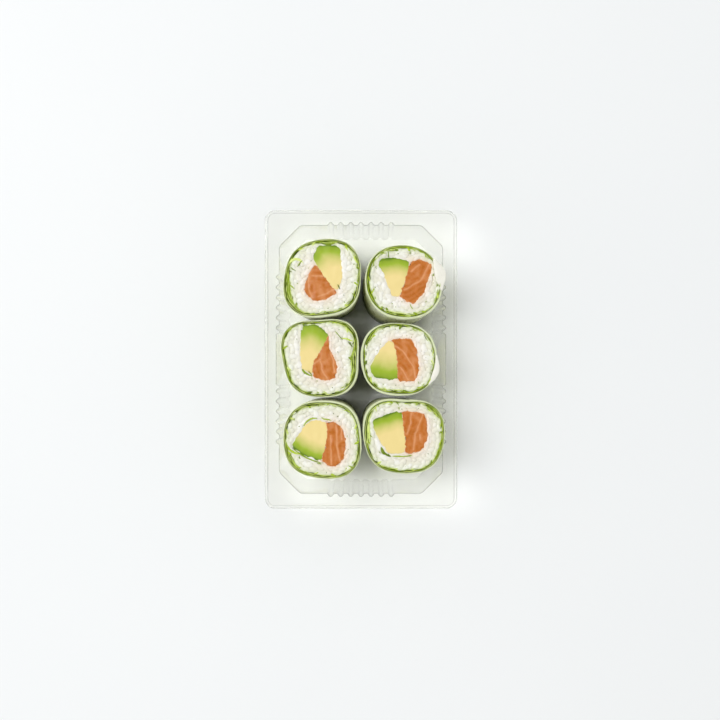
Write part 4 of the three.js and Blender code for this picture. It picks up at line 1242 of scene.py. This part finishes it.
def make_rice(roll, number, settings, white):
    rng = np.random.default_rng(700 + number)
    rim, fillings = rice_rim(roll), fillings_of(roll)
    shape, shape_faces = grain_shape()
    size = (settings.grain_length / MM, settings.grain_width / MM)
    points, tones = [], []
    for top, count in ((True, settings.grains_top), (False, settings.grains_below)):
        edge = rice_rim(roll, 0.6) if top else rim
        for spot, room in grain_spots(rng, edge, fillings, count, MARGIN):
            along = edge_direction(spot, [edge] + fillings) if room < EDGE_BAND else None
            loose = top and spot.length > layers(roll, atan2(spot.y, spot.x))["rice"] - LOOSE_BAND
            face = above_floor(roll, *spot)
            points.append(lay_grain(rng, shape, spot, room, size, top, face, along, loose))
            tones.append(float(rng.uniform(0.48, 0.82)))
    for spot, along in pressed_over(rng, fillings[1], fillings[0], rim):
        face = above_floor(roll, *spot) + 0.1
        points.append(lay_grain(rng, shape, spot, 0.5, size, True, face, along, True))
        tones.append(float(rng.uniform(0.6, 0.85)))
    grains = bpy.data.meshes.new("loose grains")
    grains.from_pydata(np.concatenate(points).tolist(), [],
                       [[i + k * len(shape) for i in f] for k in range(len(points)) for f in shape_faces])
    tone = grains.attributes.new("tone", "FLOAT", "POINT")
    tone.data.foreach_set("value", np.repeat(np.array(tones, np.float32), len(shape)))
    bm = bmesh.new()
    layer = bm.verts.layers.float.new("tone")
    rice_core(bm, roll, number, rim, [grown(f, -CORE_TUCK) for f in fillings])
    # the pressed rice between the grains gets a tone below most grains: painted shade of the gaps between
    # them
    for v in bm.verts:
        v[layer] = 0.45
    bm.from_mesh(grains)
    bpy.data.meshes.remove(grains)
    for v in bm.verts:          # nothing reaches past the rice's own outline
        away = hypot(v.co.x, v.co.y)
        cut = v.co.z > roll["height"] - FLOOR - 2.2
        reach = layers(roll, atan2(v.co.y, v.co.x))["rice"] + (0.7 if cut else 0.15)
        if away > reach:
            v.co.x, v.co.y = v.co.x * reach / away, v.co.y * reach / away
    flat = flat_places(bm)
    pink, leafy = bm.verts.layers.float.new("pink"), bm.verts.layers.float.new("leafy")
    near_salmon = np.exp(-np.maximum(-distances_inside(flat, fillings[1]), 0) / 1.8)
    near_leaf = np.exp(-np.maximum(distances_inside(flat, rim), 0) / 1.9)
    for v, a, b in zip(bm.verts, near_salmon, near_leaf):
        v[pink], v[leafy] = a, b
    settle(bm, roll)
    finish(bm, f"rice_grains_{number}", white, f"rice_{number}", sharp=70)


class SUSHI_OT_rice(bpy.types.Operator):
    """Fill the rolls with cooked rice"""
    bl_idname = "sushi.rice"
    bl_label = "Rice"

    def execute(self, context):
        settings = context.scene.sushi_rolls
        return each_roll(make_rice, settings, cooked_rice(settings))


# ---- stage --------------------------------------------------------------------------------

CAMERA_AT = (-0.0005, -0.0003, 0.470)
LENS = 41.74
KEY_AT, KEY_SIZE = (-0.98, 0.36, 1.8), 1.3
GROUND_HALF, GROUND_DROP = 3.0, 0.0002  # the floor, kept just clear of the tray's underside


class SUSHI_OT_stage(bpy.types.Operator):
    """Set up the floor, light and camera"""
    bl_idname = "sushi.stage"
    bl_label = "Stage"

    def execute(self, context):
        scene, settings = context.scene, context.scene.sushi_stage
        bm = bmesh.new()
        bmesh.ops.create_grid(bm, x_segments=1, y_segments=1, size=GROUND_HALF)
        mesh = bpy.data.meshes.new("floor")
        bm.to_mesh(mesh)
        bm.free()
        mesh.materials.append(matt_card(settings))
        mesh.transform(Matrix.Translation((0, 0, -GROUND_DROP)))
        floor = bpy.data.objects.new("floor", mesh)

        lamp = bpy.data.lights.new("key", "AREA")
        lamp.energy, lamp.shape, lamp.size = settings.key_power, "DISK", KEY_SIZE
        key = bpy.data.objects.new("key", lamp)
        key.location = KEY_AT
        key.rotation_euler = (-Vector(KEY_AT)).to_track_quat("-Z", "Y").to_euler()

        lens = bpy.data.cameras.new("camera")
        lens.lens, lens.sensor_width, lens.clip_start = LENS, 36.0, 0.01
        camera = bpy.data.objects.new("camera", lens)
        camera.location = CAMERA_AT
        for thing in (floor, key, camera):
            scene.collection.objects.link(thing)
        scene.camera = camera

        # soft light from all round, dimmer straight above, where the camera's stand keeps it off
        world = bpy.data.worlds.new("room")
        world.use_nodes = True
        sky = world.node_tree.nodes["Background"]
        sky.inputs["Strength"].default_value = settings.sky
        up = add(world.node_tree, "TexCoord")
        height = add(world.node_tree, "SeparateXYZ", Vector=(up, "Generated"))
        shade = add(world.node_tree, "ValToRGB", Fac=(height, "Z"), stops=(
            (0.0, linear("#FDFDFC")), (0.84, linear("#FDFDFC")), (0.98, linear("#6A6C6C"))))
        world.node_tree.links.new(shade.outputs[0], sky.inputs["Color"])
        scene.world = world
        scene.view_settings.view_transform = "Standard"
        return {"FINISHED"}


# ---- panel and registration ---------------------------------------------------------------

OPERATORS = (SUSHI_OT_tray, SUSHI_OT_wrappers, SUSHI_OT_lettuce, SUSHI_OT_rice, SUSHI_OT_avocado,
             SUSHI_OT_salmon, SUSHI_OT_stage)
GROUPS = {"sushi_tray": TraySettings, "sushi_rolls": RollSettings, "sushi_fillings": FillingSettings,
          "sushi_stage": StageSettings}


class SUSHI_PT_panel(bpy.types.Panel):
    """Lists the pieces of the tray and their settings"""
    bl_label = "Sushi Tray"
    bl_space_type = "VIEW_3D"
    bl_region_type = "UI"
    bl_category = "Sushi Tray"

    def draw(self, context):
        for operator in OPERATORS:
            self.layout.operator(operator.bl_idname)
        for owner, group in GROUPS.items():
            box = self.layout.box()
            for key in group.__annotations__:
                box.prop(getattr(context.scene, owner), key)


def register():
    for owner, group in GROUPS.items():
        bpy.utils.register_class(group)
        setattr(bpy.types.Scene, owner, bpy.props.PointerProperty(type=group))
    for cls in OPERATORS + (SUSHI_PT_panel,):
        bpy.utils.register_class(cls)


def unregister():
    for cls in reversed(OPERATORS + (SUSHI_PT_panel,)):
        bpy.utils.unregister_class(cls)
    for owner, group in GROUPS.items():
        delattr(bpy.types.Scene, owner)
        bpy.utils.unregister_class(group)


def main():
    register()
    for operator in OPERATORS:
        getattr(bpy.ops.sushi, operator.bl_idname.split(".")[1])()
    bpy.context.view_layer.update()


if __name__ == "__main__":
    main()
